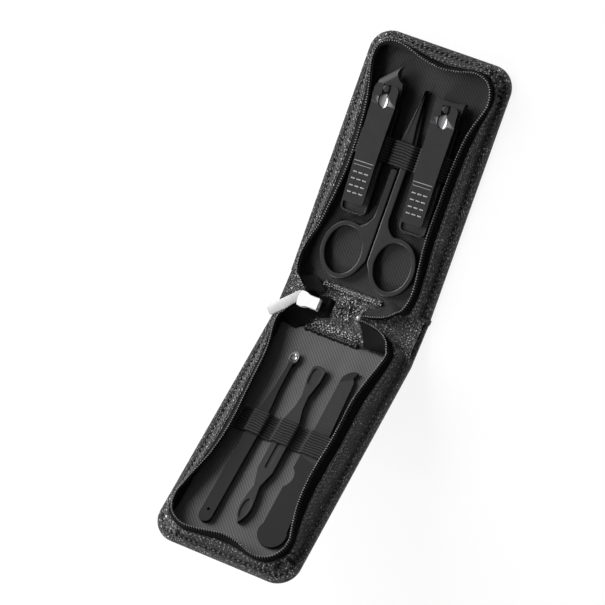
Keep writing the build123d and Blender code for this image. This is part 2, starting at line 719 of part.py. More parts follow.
def scissor_half(side, base):
    """One half: its blade lies on the given side of the pivot and its finger loop on the other."""
    frame = pivot.offset(base)
    hand = -side
    loop = hand * loop_x
    with BuildPart() as half:
        with BuildSketch(frame):
            Circle(boss_radius)
            with BuildLine():
                Polyline((side * boss_radius * 0.94, 1.5), (side * 2.6, 12), (side * 0.35, scissor_tip),
                         (-side * 0.15, scissor_tip - 0.4), (-side * 1.2, 12), (-side * 2.6, 1.5), close=True)
            make_face()
            with BuildLine():
                Polyline((hand * shank_gap / 2, 0), (hand * boss_radius * 0.9, -1.0),
                         (hand * (shank_width + shank_gap / 2), shank_top),
                         (hand * (shank_width + shank_gap / 2), shank_top - 1),
                         (hand * shank_gap / 2, shank_top - 1), close=True)
            make_face()
            Circle(screw_radius + screw_clearance, mode=Mode.SUBTRACT)
        extrude(amount=blade_thickness)
        with BuildSketch(pivot.offset(min(base, blade_gap))):
            with BuildLine():
                Polyline((hand * shank_gap / 2, shank_top), (hand * (shank_width + shank_gap / 2), shank_top),
                         (hand * (shank_width + 0.3), -27))
                ThreePointArc((hand * (shank_width + 0.3), -27), (hand * (shank_width + 1.6), -32.6),
                              (loop - hand * 2.6, loop_y + loop_hole_y + loop_band * 0.6))
                Polyline((loop - hand * 2.6, loop_y + loop_hole_y + loop_band * 0.6),
                         (loop - hand * (loop_hole_x + loop_band * 0.35), loop_y - 6.5),
                         (hand * shank_gap / 2, loop_y - 1.5), (hand * shank_gap / 2, shank_top))
            make_face()
            with Locations((loop, loop_y)):
                Ellipse(loop_hole_x + loop_band, loop_hole_y + loop_band)
                Ellipse(loop_hole_x, loop_hole_y, mode=Mode.SUBTRACT)
        extrude(amount=loop_thickness)
    return half


save(scissor_half(1, 0), "scissor_right_blade")
save(scissor_half(-1, blade_thickness + blade_gap), "scissor_left_blade")

with BuildPart() as scissor_screw:
    with BuildSketch(pivot):
        Circle(screw_radius)
    extrude(amount=2 * blade_thickness + blade_gap)
    with BuildSketch(pivot.offset(2 * blade_thickness + blade_gap)):
        Circle(screw_head_radius)
    extrude(amount=screw_head)
    with BuildSketch(pivot.offset(2 * blade_thickness + blade_gap + screw_head / 2)):
        Rectangle(2 * screw_head_radius, 0.7)
    extrude(amount=screw_head, mode=Mode.SUBTRACT)
save(scissor_screw, "scissor_screw")


# ---------------------------------------------------------------- tools of the lower half
pick = spot(lower, pick_x, pick_y, tool_floor)
with BuildPart() as ear_pick:
    with BuildSketch(pick):
        with Locations((0, 3.2)):
            Ellipse(2.1, 3.2)
        with BuildLine():
            Polyline((0.9, 4), (0.9, 8.5), (1.2, 18.6), (2.0, 27.6), (pick_half, 40.6),
                     (pick_half, pick_length - pick_half))
            ThreePointArc((pick_half, pick_length - pick_half), (0, pick_length),
                          (-pick_half, pick_length - pick_half))
            Polyline((-pick_half, pick_length - pick_half), (-pick_half, 40.6), (-2.0, 27.6), (-1.2, 18.6),
                     (-0.9, 8.5), (-0.9, 4), (0.9, 4))
        make_face()
        with Locations((0, pick_length - 5.7)):
            Circle(0.65, mode=Mode.SUBTRACT)
    extrude(amount=pick_thickness)
    with Locations(spot(pick, 0, 3.1, pick_thickness + 0.9)):
        Sphere(2.0, mode=Mode.SUBTRACT)
save(ear_pick, "ear_pick")

pusher = spot(lower, pusher_x, pusher_y, tool_floor, pusher_turn)
with BuildPart() as cuticle_pusher:
    with BuildSketch(pusher):
        with BuildLine():
            Polyline((3.15, 1.6), (3.15, 6.5), (1.45, 15.7), (1.9, 21), (pusher_half, 27.5),
                     (pusher_half, 53), (1.35, 60.5), (2.2, 66), (2.6, 70))
            ThreePointArc((2.6, 70), (1.8, 75.3), (0, pusher_length))
            ThreePointArc((0, pusher_length), (-1.8, 75.3), (-2.6, 70))
            Polyline((-2.6, 70), (-2.2, 66), (-1.35, 60.5), (-pusher_half, 53), (-pusher_half, 27.5),
                     (-1.9, 21), (-1.45, 15.7), (-3.15, 6.5), (-3.15, 1.6))
            ThreePointArc((-3.15, 1.6), (0, 0), (3.15, 1.6))
        make_face()
    extrude(amount=pusher_thickness)
    with BuildSketch(spot(pusher, 0, 0, pusher_thickness)):
        with Locations((0, 5.6)):
            RectangleRounded(4.4, 8.4, 1.7)
        with Locations((0, 45.4)):
            SlotOverall(12.8, 1.8, rotation=90)
        with Locations((0, 71.6)):
            Ellipse(1.7, 4.6)
    extrude(amount=-pusher_recess, mode=Mode.SUBTRACT)
save(cuticle_pusher, "cuticle_pusher")

file_frame = spot(lower, file_x, file_y, tool_floor)
with BuildPart() as nail_file:
    with BuildSketch(file_frame):
        with BuildLine():
            ThreePointArc((0.1, 4.8), (-1.4, 1.9), (-3.8, 0.1))
            Polyline((-3.8, 0.1), (-5.7, 0), (-4.8, 3.2), (-6.0, 5.2), (-7.9, 31.8), (-11.9, 77.8))
            ThreePointArc((-11.9, 77.8), (-6.4, file_length), (-0.8, 77.8))
            Polyline((-0.8, 77.8), (-0.5, 59.6))
            ThreePointArc((-0.5, 59.6), (-2.6, 56.0), (-0.5, 50.4))
            Polyline((-0.5, 50.4), (-0.4, 31.8), (0.1, 4.8))
        make_face()
    extrude(amount=file_thickness)
save(nail_file, "nail_file")
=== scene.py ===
import bpy
import math
import numpy as np
from mathutils import Matrix, Vector


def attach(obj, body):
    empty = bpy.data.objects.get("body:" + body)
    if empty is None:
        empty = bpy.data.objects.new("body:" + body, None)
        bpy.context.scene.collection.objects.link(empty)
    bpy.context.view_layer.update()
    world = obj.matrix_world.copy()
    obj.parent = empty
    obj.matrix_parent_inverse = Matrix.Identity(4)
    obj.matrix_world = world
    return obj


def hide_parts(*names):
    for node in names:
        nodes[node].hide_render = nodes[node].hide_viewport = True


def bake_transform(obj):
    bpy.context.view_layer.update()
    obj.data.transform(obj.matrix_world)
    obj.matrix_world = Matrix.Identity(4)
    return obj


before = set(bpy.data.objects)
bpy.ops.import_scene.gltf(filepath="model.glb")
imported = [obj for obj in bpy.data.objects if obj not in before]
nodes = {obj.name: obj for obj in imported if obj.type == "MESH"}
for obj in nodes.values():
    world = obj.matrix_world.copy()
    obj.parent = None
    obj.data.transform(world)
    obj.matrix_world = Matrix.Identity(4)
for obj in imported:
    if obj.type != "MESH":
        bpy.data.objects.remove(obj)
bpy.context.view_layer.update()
print("frame loaded")

# Each half is laid out flat in millimetres: x across the case, y away from the half's fold,
# z up from the outside of the cover. Below y = 0 the layout runs on over the spine.
case = dict(halfWidth=33.0, length=112.0, spine=19.5, corner=10.0, foldHeight=0.6,
            spineTilt=10.0, halfTilt=19.0, foldSoftness=1.6)


def halfAxes(degrees):
    turn = math.radians(degrees)
    up = np.array([0, math.sin(turn), math.cos(turn)])
    return np.array([0, -up[2], up[1]]), up


spineOut, spineUp = halfAxes(case["spineTilt"])
lowerOut, lowerUp = halfAxes(case["spineTilt"] + case["halfTilt"])
upperOut = np.array([0, 1.0, 0])
upperUp = np.array([0, 0, 1.0])
upperStart = np.array([0, -case["length"] / 2, 0])
upperFold = upperStart + upperUp * case["foldHeight"]
lowerFold = upperFold + spineOut * case["spine"]
lowerStart = lowerFold - lowerUp * case["foldHeight"]
halves = dict(upper=(upperStart, upperOut, upperUp, case["spineTilt"]),
              lower=(lowerStart, lowerOut, lowerUp, case["halfTilt"]))


def laid(half, points):
    # layout points to metres in the frame, rolled softly over the fold
    start, out, up, tilt = halves[half]
    points = np.asarray(points, float).reshape(-1, 3)
    y, z = points[:, 1], points[:, 2] - case["foldHeight"]
    soft = case["foldSoftness"]
    turn = math.radians(tilt) * np.clip((soft - y) / (2 * soft), 0, 1)
    bentY = y * np.cos(turn) + z * np.sin(turn)
    bentZ = z * np.cos(turn) - y * np.sin(turn) + case["foldHeight"]
    spot = start + bentY[:, None] * out + bentZ[:, None] * up
    spot[:, 0] += points[:, 0]
    return spot / 1000


def inHalf(half):
    return lambda points: laid(half, points)


def onSpine(points):
    # x, y from the upper fold and z on the spine, the same for both halves
    points = np.asarray(points, float).reshape(-1, 3)
    outside = upperFold - spineUp * case["foldHeight"]
    spot = outside + points[:, 1:2] * spineOut + points[:, 2:3] * spineUp
    spot[:, 0] += points[:, 0]
    return spot / 1000


def unitRows(vectors):
    # each row scaled to a length of 1
    return vectors / np.linalg.norm(vectors, axis=1)[:, None]


def distanceAlong(points):
    # how far each point is from the first one, along the line
    return np.concatenate([[0], np.cumsum(np.linalg.norm(np.diff(points, axis=0), axis=1))])


def smoothLine(controls, count):
    # smooth run through rows of values, spaced evenly by the first three of each row
    p = np.asarray(controls, float)
    p = np.vstack([2 * p[0] - p[1], p, 2 * p[-1] - p[-2]])
    steps = np.linspace(0, 1, 24, endpoint=False)[:, None]
    runs = []
    for i in range(1, len(p) - 2):
        a, b, c, d = p[i - 1], p[i], p[i + 1], p[i + 2]
        runs.append(0.5 * (2 * b + (c - a) * steps + (2 * a - 5 * b + 4 * c - d) * steps ** 2
                           + (3 * b - a - 3 * c + d) * steps ** 3))
    line = np.vstack(runs + [p[-2:-1]])
    length = distanceAlong(line[:, :3])
    spots = np.linspace(0, length[-1], count)
    return np.stack([np.interp(spots, length, line[:, k]) for k in range(line.shape[1])], axis=1)


def ripple(x, y, size, seed, layers=3):
    # smooth unevenness between -1 and 1
    pick = np.random.default_rng(seed)
    total, weight = 0, 0
    for layer in range(layers):
        for _ in range(4):
            angle, phase = pick.uniform(0, math.pi * 2, 2)
            wave = 2 * math.pi / (size / 1.7 ** layer) * pick.uniform(0.75, 1.3)
            total = total + np.sin(wave * (x * math.cos(angle) + y * math.sin(angle)) + phase) / (layer + 1)
        weight += 4 / (layer + 1)
    return total / weight * 1.8


def deselectAll():
    if bpy.context.object and bpy.context.object.mode != "OBJECT":
        bpy.ops.object.mode_set(mode="OBJECT")
    bpy.ops.object.select_all(action="DESELECT")


def makeActive(piece):
    deselectAll()
    piece.select_set(True)
    bpy.context.view_layer.objects.active = piece


def enterEdit(piece, selection="SELECT"):
    # edit mode with all of the piece selected, or with nothing selected for "DESELECT"
    makeActive(piece)
    bpy.ops.object.mode_set(mode="EDIT")
    bpy.ops.mesh.select_all(action=selection)


def leaveEdit():
    bpy.ops.object.mode_set(mode="OBJECT")


def cubeFrom(size, centre=(0, 0, 0)):
    deselectAll()
    bpy.ops.mesh.primitive_cube_add(size=1)
    cube = bpy.context.object
    cube.data.transform(Matrix.Translation(centre) @ Matrix.Diagonal((*size, 1)))
    return cube


def applyModifier(piece, kind, **settings):
    makeActive(piece)
    modifier = piece.modifiers.new(kind.lower(), kind)
    for key, value in settings.items():
        setattr(modifier, key, value)
    bpy.ops.object.modifier_apply(modifier=modifier.name)


def shadeSmooth(piece, degrees):
    makeActive(piece)
    bpy.ops.object.shade_smooth_by_angle(angle=math.radians(degrees))


def smoothFaces(piece):
    for face in piece.data.polygons:
        face.use_smooth = True


def movePoints(piece, spots):
    piece.data.vertices.foreach_set("co", spots.ravel())
    piece.data.update()


def sheetFrom(name, rows, flip, place, lengths):
    # a grid whose vertices are moved on to rows x columns of points, with a UV map in millimetres
    rows = np.asarray(rows, float)
    count, columns = rows.shape[:2]
    deselectAll()
    bpy.ops.mesh.primitive_grid_add(x_subdivisions=columns - 1, y_subdivisions=count - 1, size=1)
    piece = bpy.context.object
    piece.name = piece.data.name = name
    spots = place(rows.reshape(-1, 3))
    piece.data.vertices.foreach_set("co", spots.ravel())
    real = spots.reshape(count, columns, 3) * 1000
    steps = np.linalg.norm(np.diff(real, axis=1), axis=2)
    across = np.concatenate([np.zeros((count, 1)), np.cumsum(steps, axis=1)], axis=1)
    middle = columns // 2
    along = distanceAlong(real[:, middle]) if lengths is None else lengths
    flat = np.stack([across - across[:, middle:middle + 1],
                     np.repeat(along[:, None], columns, axis=1)], axis=2)
    corner = np.zeros(len(piece.data.loops), int)
    piece.data.loops.foreach_get("vertex_index", corner)
    flat = flat.reshape(-1, 2)[corner].astype(np.float32)
    piece.data.uv_layers[0].data.foreach_set("uv", flat.ravel())
    if flip:
        piece.data.flip_normals()
    piece.data.update()
    return piece


def makeSheet(name, rows, place, thickness, flip=False, offset=-1.0, smooth=60, crush=None, lengths=None):
    # thickness in millimetres; crush is kept per vertex for the leather: it paints highlight where it is
    # high, painted shade where it is below 0, and makes the leather glossier
    piece = sheetFrom(name, rows, flip, place, lengths)
    if crush is not None:
        marks = piece.data.attributes.new("crush", "FLOAT", "POINT")
        marks.data.foreach_set("value", np.asarray(crush, np.float32).ravel())
    applyModifier(piece, "SOLIDIFY", thickness=thickness / 1000, offset=offset)
    if smooth:
        shadeSmooth(piece, smooth)
    return piece


def finishPiece(piece, material=None, body=None, fold=None, foldReach=4.0, replaced=()):
    # a piece rides on its body; given a fold, its placement is baked into its mesh instead
    if material is not None:
        piece.data.materials.clear()
        for one in material if isinstance(material, list) else [material]:
            piece.data.materials.append(one)
    if fold:
        height = case["foldHeight"]
        near, far = laid(fold, [(0, foldReach, height), (0, -foldReach, height)])
        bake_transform(piece)
    else:
        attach(piece, body)
    if replaced:
        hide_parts(*replaced)


def joinPieces(name, pieces):
    deselectAll()
    for piece in pieces:
        piece.select_set(True)
    bpy.context.view_layer.objects.active = pieces[0]
    bpy.ops.object.join()
    joined = bpy.context.object
    joined.name = joined.data.name = name
    return joined


def manyCopies(name, model, matrices):
    # the model is copied to each place, each copy with its own mesh, and all are joined
    copies = []
    for matrix in matrices:
        copy = model.copy()
        copy.data = model.data.copy()
        copy.data.transform(Matrix(matrix))
        bpy.context.scene.collection.objects.link(copy)
        copies.append(copy)
    joined = joinPieces(name, copies)
    bpy.data.objects.remove(model)
    return joined


def frames(spots, along, up):
    # one matrix for each place: x along the line, y up the given slope, in millimetres
    result = []
    for p, t, u in zip(spots, along, up):
        t = t / np.linalg.norm(t)
        n = np.cross(t, u)
        n = n / np.linalg.norm(n)
        u = np.cross(n, t)
        matrix = np.eye(4)
        matrix[:3, :3] = np.stack([t, u, n], axis=1) * 0.001
        matrix[:3, 3] = p
        result.append(matrix)
    return result


def newMaterial(name, rough=0.5, metallic=0.0, specular=0.5):
    material = bpy.data.materials.new(name)
    material.use_nodes = True
    shader = material.node_tree.nodes["Principled BSDF"]
    shader.inputs["Roughness"].default_value = rough
    shader.inputs["Metallic"].default_value = metallic
    shader.inputs["Specular IOR Level"].default_value = specular
    return material, material.node_tree, shader


def addNode(tree, kind, inputs=None, **settings):
    node = tree.nodes.new("ShaderNode" + kind)
    for key, value in settings.items():
        setattr(node, key, value)
    for key, value in (inputs or {}).items():
        if isinstance(value, bpy.types.NodeSocket):
            tree.links.new(value, node.inputs[key])
        else:
            node.inputs[key].default_value = value
    return node


def coordinates(tree, space, turn=0.0):
    source = addNode(tree, "TexCoord").outputs[space]
    return addNode(tree, "Mapping", {"Vector": source, "Rotation": (0, 0, turn)}).outputs["Vector"]


def noise(tree, where, scale, detail, rough=0.5, output="Fac"):
    inputs = {"Vector": where, "Scale": scale, "Detail": detail, "Roughness": rough}
    return addNode(tree, "TexNoise", inputs).outputs[output]


def waves(tree, where, direction, scale, distortion, detailScale=2.0):
    inputs = {"Vector": where, "Scale": scale, "Distortion": distortion, "Detail Scale": detailScale}
    return addNode(tree, "TexWave", inputs, bands_direction=direction).outputs["Fac"]


def ramp(tree, fac, *stops):
    node = addNode(tree, "ValToRGB", {"Fac": fac})
    band = node.color_ramp
    while len(band.elements) < len(stops):
        band.elements.new(0.5)
    for element, (position, value) in zip(band.elements, stops):
        element.position = position
        element.color = (*value, 1) if isinstance(value, tuple) else (value, value, value, 1)
    return node.outputs["Color"]


def between(tree, value, low, high, start=0.0, end=1.0, **settings):
    # value from start to end becomes low to high
    inputs = {"Value": value, "From Min": start, "From Max": end, "To Min": low, "To Max": high}
    return addNode(tree, "MapRange", inputs, **settings).outputs["Result"]


def calc(tree, operation, *values):
    return addNode(tree, "Math", dict(enumerate(values)), operation=operation).outputs[0]


def vectorCalc(tree, operation, value, other):
    second = "Scale" if operation == "SCALE" else 1
    return addNode(tree, "VectorMath", {0: value, second: other}, operation=operation).outputs[0]


def weighted(tree, *shares):
    # sum of the values, each times its weight
    total = 0.0
    for value, weight in shares:
        total = calc(tree, "MULTIPLY_ADD", value, weight, total)
    return total


def bump(tree, shader, height, distance):
    node = addNode(tree, "Bump", {"Height": height, "Distance": distance, "Strength": 1.0})
    tree.links.new(node.outputs["Normal"], shader.inputs["Normal"])


# bend, pores, drift and the glint patches: scale, detail and roughness of each noise; creases: height of a
# cell from its edge inwards; tones: colours of the grain, near black in the creases as painted shade and
# light on the cell tops as painted glints; heights: how far ridges, pores and drift stand out; the crush gain
# paints highlight where crush is high, brightest caps that colour
leatherLook = dict(cell=1.1, warp=0.5, bend=(0.9, 3.0), creases=((0.0, 0.0), (0.22, 0.85), (0.5, 1.0)),
                   pores=(1.4, 4.0), poreLift=0.35, drift=(0.12, 2.0), glintPatches=(0.85, 5.0, 0.7), glintPatchGain=1.8,
                   tones=((0.46, 0.0006), (0.64, 0.026), (0.9, 0.26)), heights=(0.7, 0.5, 0.6),
                   depth=0.0006, gloss=(0.24, 0.6), specular=0.45, paintedHighlightGain=5.0, crushGloss=0.3,
                   brightest=0.5)


def leatherMaterial(name, depth=1.0, shine=1.0, paintedGlintTint=1.0):
    # pebbled grain: cells with creases between them, broken up by fine pores
    look = leatherLook
    material, tree, shader = newMaterial(name, specular=look["specular"] * shine)
    flat = coordinates(tree, "UV")
    bend = noise(tree, flat, *look["bend"], output="Color")
    bend = vectorCalc(tree, "SUBTRACT", bend, (0.5, 0.5, 0.5))
    where = vectorCalc(tree, "ADD", flat, vectorCalc(tree, "SCALE", bend, look["warp"] * 2))
    cells = addNode(tree, "TexVoronoi", {"Vector": where, "Scale": 1 / look["cell"]},
                    feature="DISTANCE_TO_EDGE").outputs["Distance"]
    ridge = ramp(tree, cells, *look["creases"])
    pores = noise(tree, where, *look["pores"])
    drift = noise(tree, flat, *look["drift"])
    tone = calc(tree, "MULTIPLY", ridge, calc(tree, "ADD", look["poreLift"], pores))
    glintPatches = calc(tree, "MULTIPLY", noise(tree, flat, *look["glintPatches"]), look["glintPatchGain"])
    # the tones paint shade into the creases and glints on to the cell tops; the glint patches make the
    # painted glints brighter in places
    dark, middle, (bright, light) = look["tones"]
    colour = ramp(tree, calc(tree, "MULTIPLY", tone, glintPatches), dark, middle, (bright, light * paintedGlintTint))
    # the crush attribute paints highlight: the colour is brightened where it is high and darkened as painted
    # shade where it is below 0; it also lowers the roughness
    crush = addNode(tree, "Attribute", attribute_name="crush").outputs["Fac"]
    lift = calc(tree, "MULTIPLY_ADD", crush, look["paintedHighlightGain"], 1.0)
    colour = vectorCalc(tree, "MINIMUM", vectorCalc(tree, "SCALE", colour, lift), (look["brightest"],) * 3)
    tree.links.new(colour, shader.inputs["Base Color"])
    low, high = look["gloss"]
    rough = between(tree, tone, high / shine, low / shine)
    rough = calc(tree, "MULTIPLY_ADD", crush, -look["crushGloss"], rough)
    tree.links.new(rough, shader.inputs["Roughness"])
    height = weighted(tree, *zip((ridge, pores, drift), look["heights"]))
    bump(tree, shader, height, look["depth"] * depth)
    return material


# waves: bands to a unit at a scale of 1; crossing: the crossing threads' pitch against the ribs';
# stray: how far the ribs and the crossing threads wander; stops: where the two tones stand
weaveLook = dict(rough=0.85, depth=0.00006, waves=3.1831, crossing=1.9, twillRibs=0.28, plainRibs=0.2,
                 cross=0.34, fuzz=0.7, stray=(0.6, 0.8), fuzzGrain=(2.4, 5.0, 0.7), stops=(0.15, 0.95))


def fabricMaterial(name, dark, light, pitch=0.5, turn=45.0, twill=True, specular=0.06):
    # fine twill: slanting ribs broken by threads crossing them, with a little fuzz
    look = weaveLook
    material, tree, shader = newMaterial(name, rough=look["rough"], specular=specular)
    flat = coordinates(tree, "UV", turn=math.radians(turn))
    ribs = waves(tree, flat, "X", 1 / pitch / look["waves"], look["stray"][0])
    cross = waves(tree, flat, "Y", 1 / pitch / look["crossing"], look["stray"][1])
    fuzz = noise(tree, flat, *look["fuzzGrain"])
    weave = weighted(tree, (ribs, look["twillRibs" if twill else "plainRibs"]),
                     (cross, look["cross"]), (fuzz, look["fuzz"]))
    tones = zip(look["stops"], (dark, light))
    tree.links.new(ramp(tree, weave, *tones), shader.inputs["Base Color"])
    bump(tree, shader, weave, look["depth"])
    return material


# cloud, grain: scale and detail of each noise; dim: the cloud's darker tone against the metal's colour
metalLook = dict(cloud=(220.0, 4.0), stops=(0.3, 0.75), dim=0.82, scratch=0.1, grain=(2600.0, 3.0),
                 grainDepth=0.000004)


def metalGrain(tree, shader):
    grain = noise(tree, coordinates(tree, "Object"), *metalLook["grain"])
    bump(tree, shader, grain, metalLook["grainDepth"])


def metalMaterial(name, colour, rough, metallic=0.0, specular=0.5):
    # plated or coated steel, a little cloudy, with a fine grain
    material, tree, shader = newMaterial(name, metallic=metallic, specular=specular)
    cloud = noise(tree, coordinates(tree, "Object"), *metalLook["cloud"])
    dim = tuple(c * metalLook["dim"] for c in colour)
    tones = zip(metalLook["stops"], (dim, colour))
    tree.links.new(ramp(tree, cloud, *tones), shader.inputs["Base Color"])
    scratched = between(tree, cloud, rough * (1 - metalLook["scratch"]), rough * (1 + metalLook["scratch"]))
    tree.links.new(scratched, shader.inputs["Roughness"])
    metalGrain(tree, shader)
    return material


threadLook = dict(cloud=(900.0, 3.0), stops=(0.3, 0.7), dim=0.6, depth=0.00002)


def threadMaterial(name, colour, rough, specular):
    # twisted thread or moulded nylon, a little uneven
    material, tree, shader = newMaterial(name, rough=rough, specular=specular)
    cloud = noise(tree, coordinates(tree, "Object"), *threadLook["cloud"])
    tones = zip(threadLook["stops"], (colour * threadLook["dim"], colour))
    tree.links.new(ramp(tree, cloud, *tones), shader.inputs["Base Color"])
    bump(tree, shader, cloud, threadLook["depth"])
    return material


# cross: scale, distortion and detail scale of the cross threads; winding: their weight and what is added
elasticLook = dict(rough=0.75, specular=0.15, cross=(0.85, 1.2, 1.0), winding=(0.2, 0.75), ribShadeAndWinding=0.85,
                   fuzz=0.2, fuzzGrain=(4.0, 4.0), tones=((0.3, 0.0003), (0.6, 0.008), (0.92, 0.042)),
                   depth=0.00016)


def elasticMaterial(name, ribs, width):
    # rubber ribs along the band, each wrapped in fine cross threads; the colour is painted shade in the
    # grooves and painted sheen on the rib tops
    look = elasticLook
    material, tree, shader = newMaterial(name, rough=look["rough"], specular=look["specular"])
    flat = coordinates(tree, "UV")
    height = addNode(tree, "SeparateXYZ", {"Vector": flat}).outputs["Y"]
    wave = calc(tree, "ABSOLUTE", calc(tree, "SINE", calc(tree, "MULTIPLY", height, math.pi * ribs / width)))
    cross = waves(tree, flat, "X", *look["cross"])
    ribShadeAndWinding = calc(tree, "MULTIPLY", wave, calc(tree, "MULTIPLY_ADD", cross, *look["winding"]))
    fuzz = noise(tree, flat, *look["fuzzGrain"])
    tone = weighted(tree, (ribShadeAndWinding, look["ribShadeAndWinding"]), (fuzz, look["fuzz"]))
    tree.links.new(ramp(tree, tone, *look["tones"]), shader.inputs["Base Color"])
    bump(tree, shader, tone, look["depth"])
    return material


# the three leathers differ in how bright their painted glints are: faint on the cover, stronger on the walls,
# strongest inside the hinge
coverLeather = leatherMaterial("cover_leather", depth=0.75, paintedGlintTint=0.5)
wallLeather = leatherMaterial("wall_leather", depth=1.2, shine=1.15, paintedGlintTint=1.1)
innerLeather = leatherMaterial("inner_leather", shine=1.4, paintedGlintTint=1.6)
upperTwill = fabricMaterial("upper_lining_twill", 0.002, 0.043, pitch=1.15, turn=-45.0, specular=0.1)
lowerTwill = fabricMaterial("lower_lining_twill", 0.008, 0.15, pitch=1.1, specular=0.1)
tapeFabric = fabricMaterial("zip_tape_weave", 0.0008, 0.006, turn=0.0, twill=False)
linerFabric = fabricMaterial("liner_weave", 0.0012, 0.01)
# the wall linings get darker tones than the floor linings: painted shade inside the walls, darker still in
# the lower half
wallLinerShade = dict(upper=fabricMaterial("upper_liner_painted_shade", 0.004, 0.034),
                 lower=fabricMaterial("lower_liner_painted_deep_shade", 0.0006, 0.005))
toolBlack = metalMaterial("tool_black", (0.013, 0.013, 0.0135), 0.3, specular=0.27)
toolMatte = metalMaterial("tool_matte", (0.014, 0.014, 0.0145), 0.45, specular=0.2)
toolSatin = metalMaterial("tool_satin", (0.019, 0.019, 0.0195), 0.55, specular=0.2)
chrome = metalMaterial("bright_steel", (0.32, 0.32, 0.33), 0.24, metallic=1.0)
nickel = metalMaterial("nickel", (0.7, 0.7, 0.71), 0.42, metallic=0.3)
tabNickel = metalMaterial("brushed_nickel", (0.35, 0.35, 0.355), 0.5, metallic=0.15)
stopSteel = metalMaterial("dull_steel", (0.34, 0.34, 0.35), 0.34, metallic=1.0)
# bright steel for the bars on the grip ribs, a painted highlight
gripHighlightSteel = metalMaterial("grip_highlight_steel", (0.32, 0.32, 0.33), 0.34, metallic=1.0)


def onLowerHalf(tree):
    # millimetres in the lower half: x across it, y towards its fold
    source = addNode(tree, "TexCoord").outputs["Object"]
    tilt = math.radians(case["spineTilt"] + case["halfTilt"])
    shift = float(lowerStart @ lowerOut)
    turned = addNode(tree, "Mapping", {"Vector": source, "Scale": (1000, 1000, 1000),
                                       "Rotation": (tilt, 0, 0), "Location": (0, shift, 0)})
    split = addNode(tree, "SeparateXYZ", {"Vector": turned.outputs["Vector"]})
    return split.outputs["X"], calc(tree, "MULTIPLY", split.outputs["Y"], -1.0)


# start and end of the cut: how far along the file at its middle line, and how much it slants
fileLook = dict(pitch=0.62, slant=34, middle=13.0, start=(18.0, -0.69), end=(57.8, 0.27), rough=0.6,
                specular=0.15, tones=((0.0, 0.011), (0.5, 0.03), (1.0, 0.05)), depth=0.00012)


def fileMaterial():
    # matte steel with a cross-cut field that starts and ends on a slant
    material, tree, shader = newMaterial("cut_file", rough=fileLook["rough"], specular=fileLook["specular"])
    x, y = onLowerHalf(tree)
    slant = math.radians(fileLook["slant"])
    cuts = []
    for way in (1, -1):
        run = weighted(tree, (x, math.sin(slant) * way), (y, math.cos(slant)))
        turns = calc(tree, "MULTIPLY", run, math.pi / fileLook["pitch"])
        cuts.append(calc(tree, "ABSOLUTE", calc(tree, "SINE", turns)))
    fromMiddle = calc(tree, "SUBTRACT", x, fileLook["middle"])
    inside = []
    for (level, slope), sign in ((fileLook["start"], 1), (fileLook["end"], -1)):
        line = calc(tree, "MULTIPLY_ADD", fromMiddle, slope, level)
        past = calc(tree, "MULTIPLY", calc(tree, "SUBTRACT", y, line), sign)
        inside.append(calc(tree, "GREATER_THAN", past, 0.0))
    cut = calc(tree, "MULTIPLY", calc(tree, "MULTIPLY", *cuts), calc(tree, "MULTIPLY", *inside))
    tree.links.new(ramp(tree, cut, *fileLook["tones"]), shader.inputs["Base Color"])
    bump(tree, shader, cut, fileLook["depth"])
    return material


pickLook = dict(spoonEnd=17.6, neck=20.2, black=0.01, steel=0.2, matte=0.6, polished=0.22, specular=0.15)


def pickMaterial():
    # matte black that ends in a polished spoon
    look = pickLook
    material, tree, shader = newMaterial("pick_spoon", specular=look["specular"])
    _, y = onLowerHalf(tree)
    spoon = between(tree, y, 1.0, 0.0, look["spoonEnd"], look["neck"], interpolation_type="SMOOTHSTEP")
    tree.links.new(ramp(tree, spoon, (0.0, look["black"]), (1.0, look["steel"])), shader.inputs["Base Color"])
    tree.links.new(spoon, shader.inputs["Metallic"])
    tree.links.new(between(tree, spoon, look["matte"], look["polished"]), shader.inputs["Roughness"])
    metalGrain(tree, shader)
    return material


fileBlack = fileMaterial()
pickBlack = pickMaterial()
# grey heads on the black nylon teeth, a painted highlight
coilHeadHighlight = threadMaterial("coil_head_painted_highlight", 0.24, 0.25, 0.5)
coilLeg = threadMaterial("coil_leg_nylon", 0.006, 0.4, 0.3)
threadBlack = threadMaterial("black_thread", 0.085, 0.4, 0.5)
# pale grey thread
threadPale = threadMaterial("pale_thread", 0.3, 0.45, 0.45)
print("materials made")

wall = dict(inset=3.1, baseHeight=2.3, rimHeight=9.6, leatherShare=0.62, footShare=0.54, bulge=0.7,
            linerInset=6.6, linerHeight=4.0, samples=330)
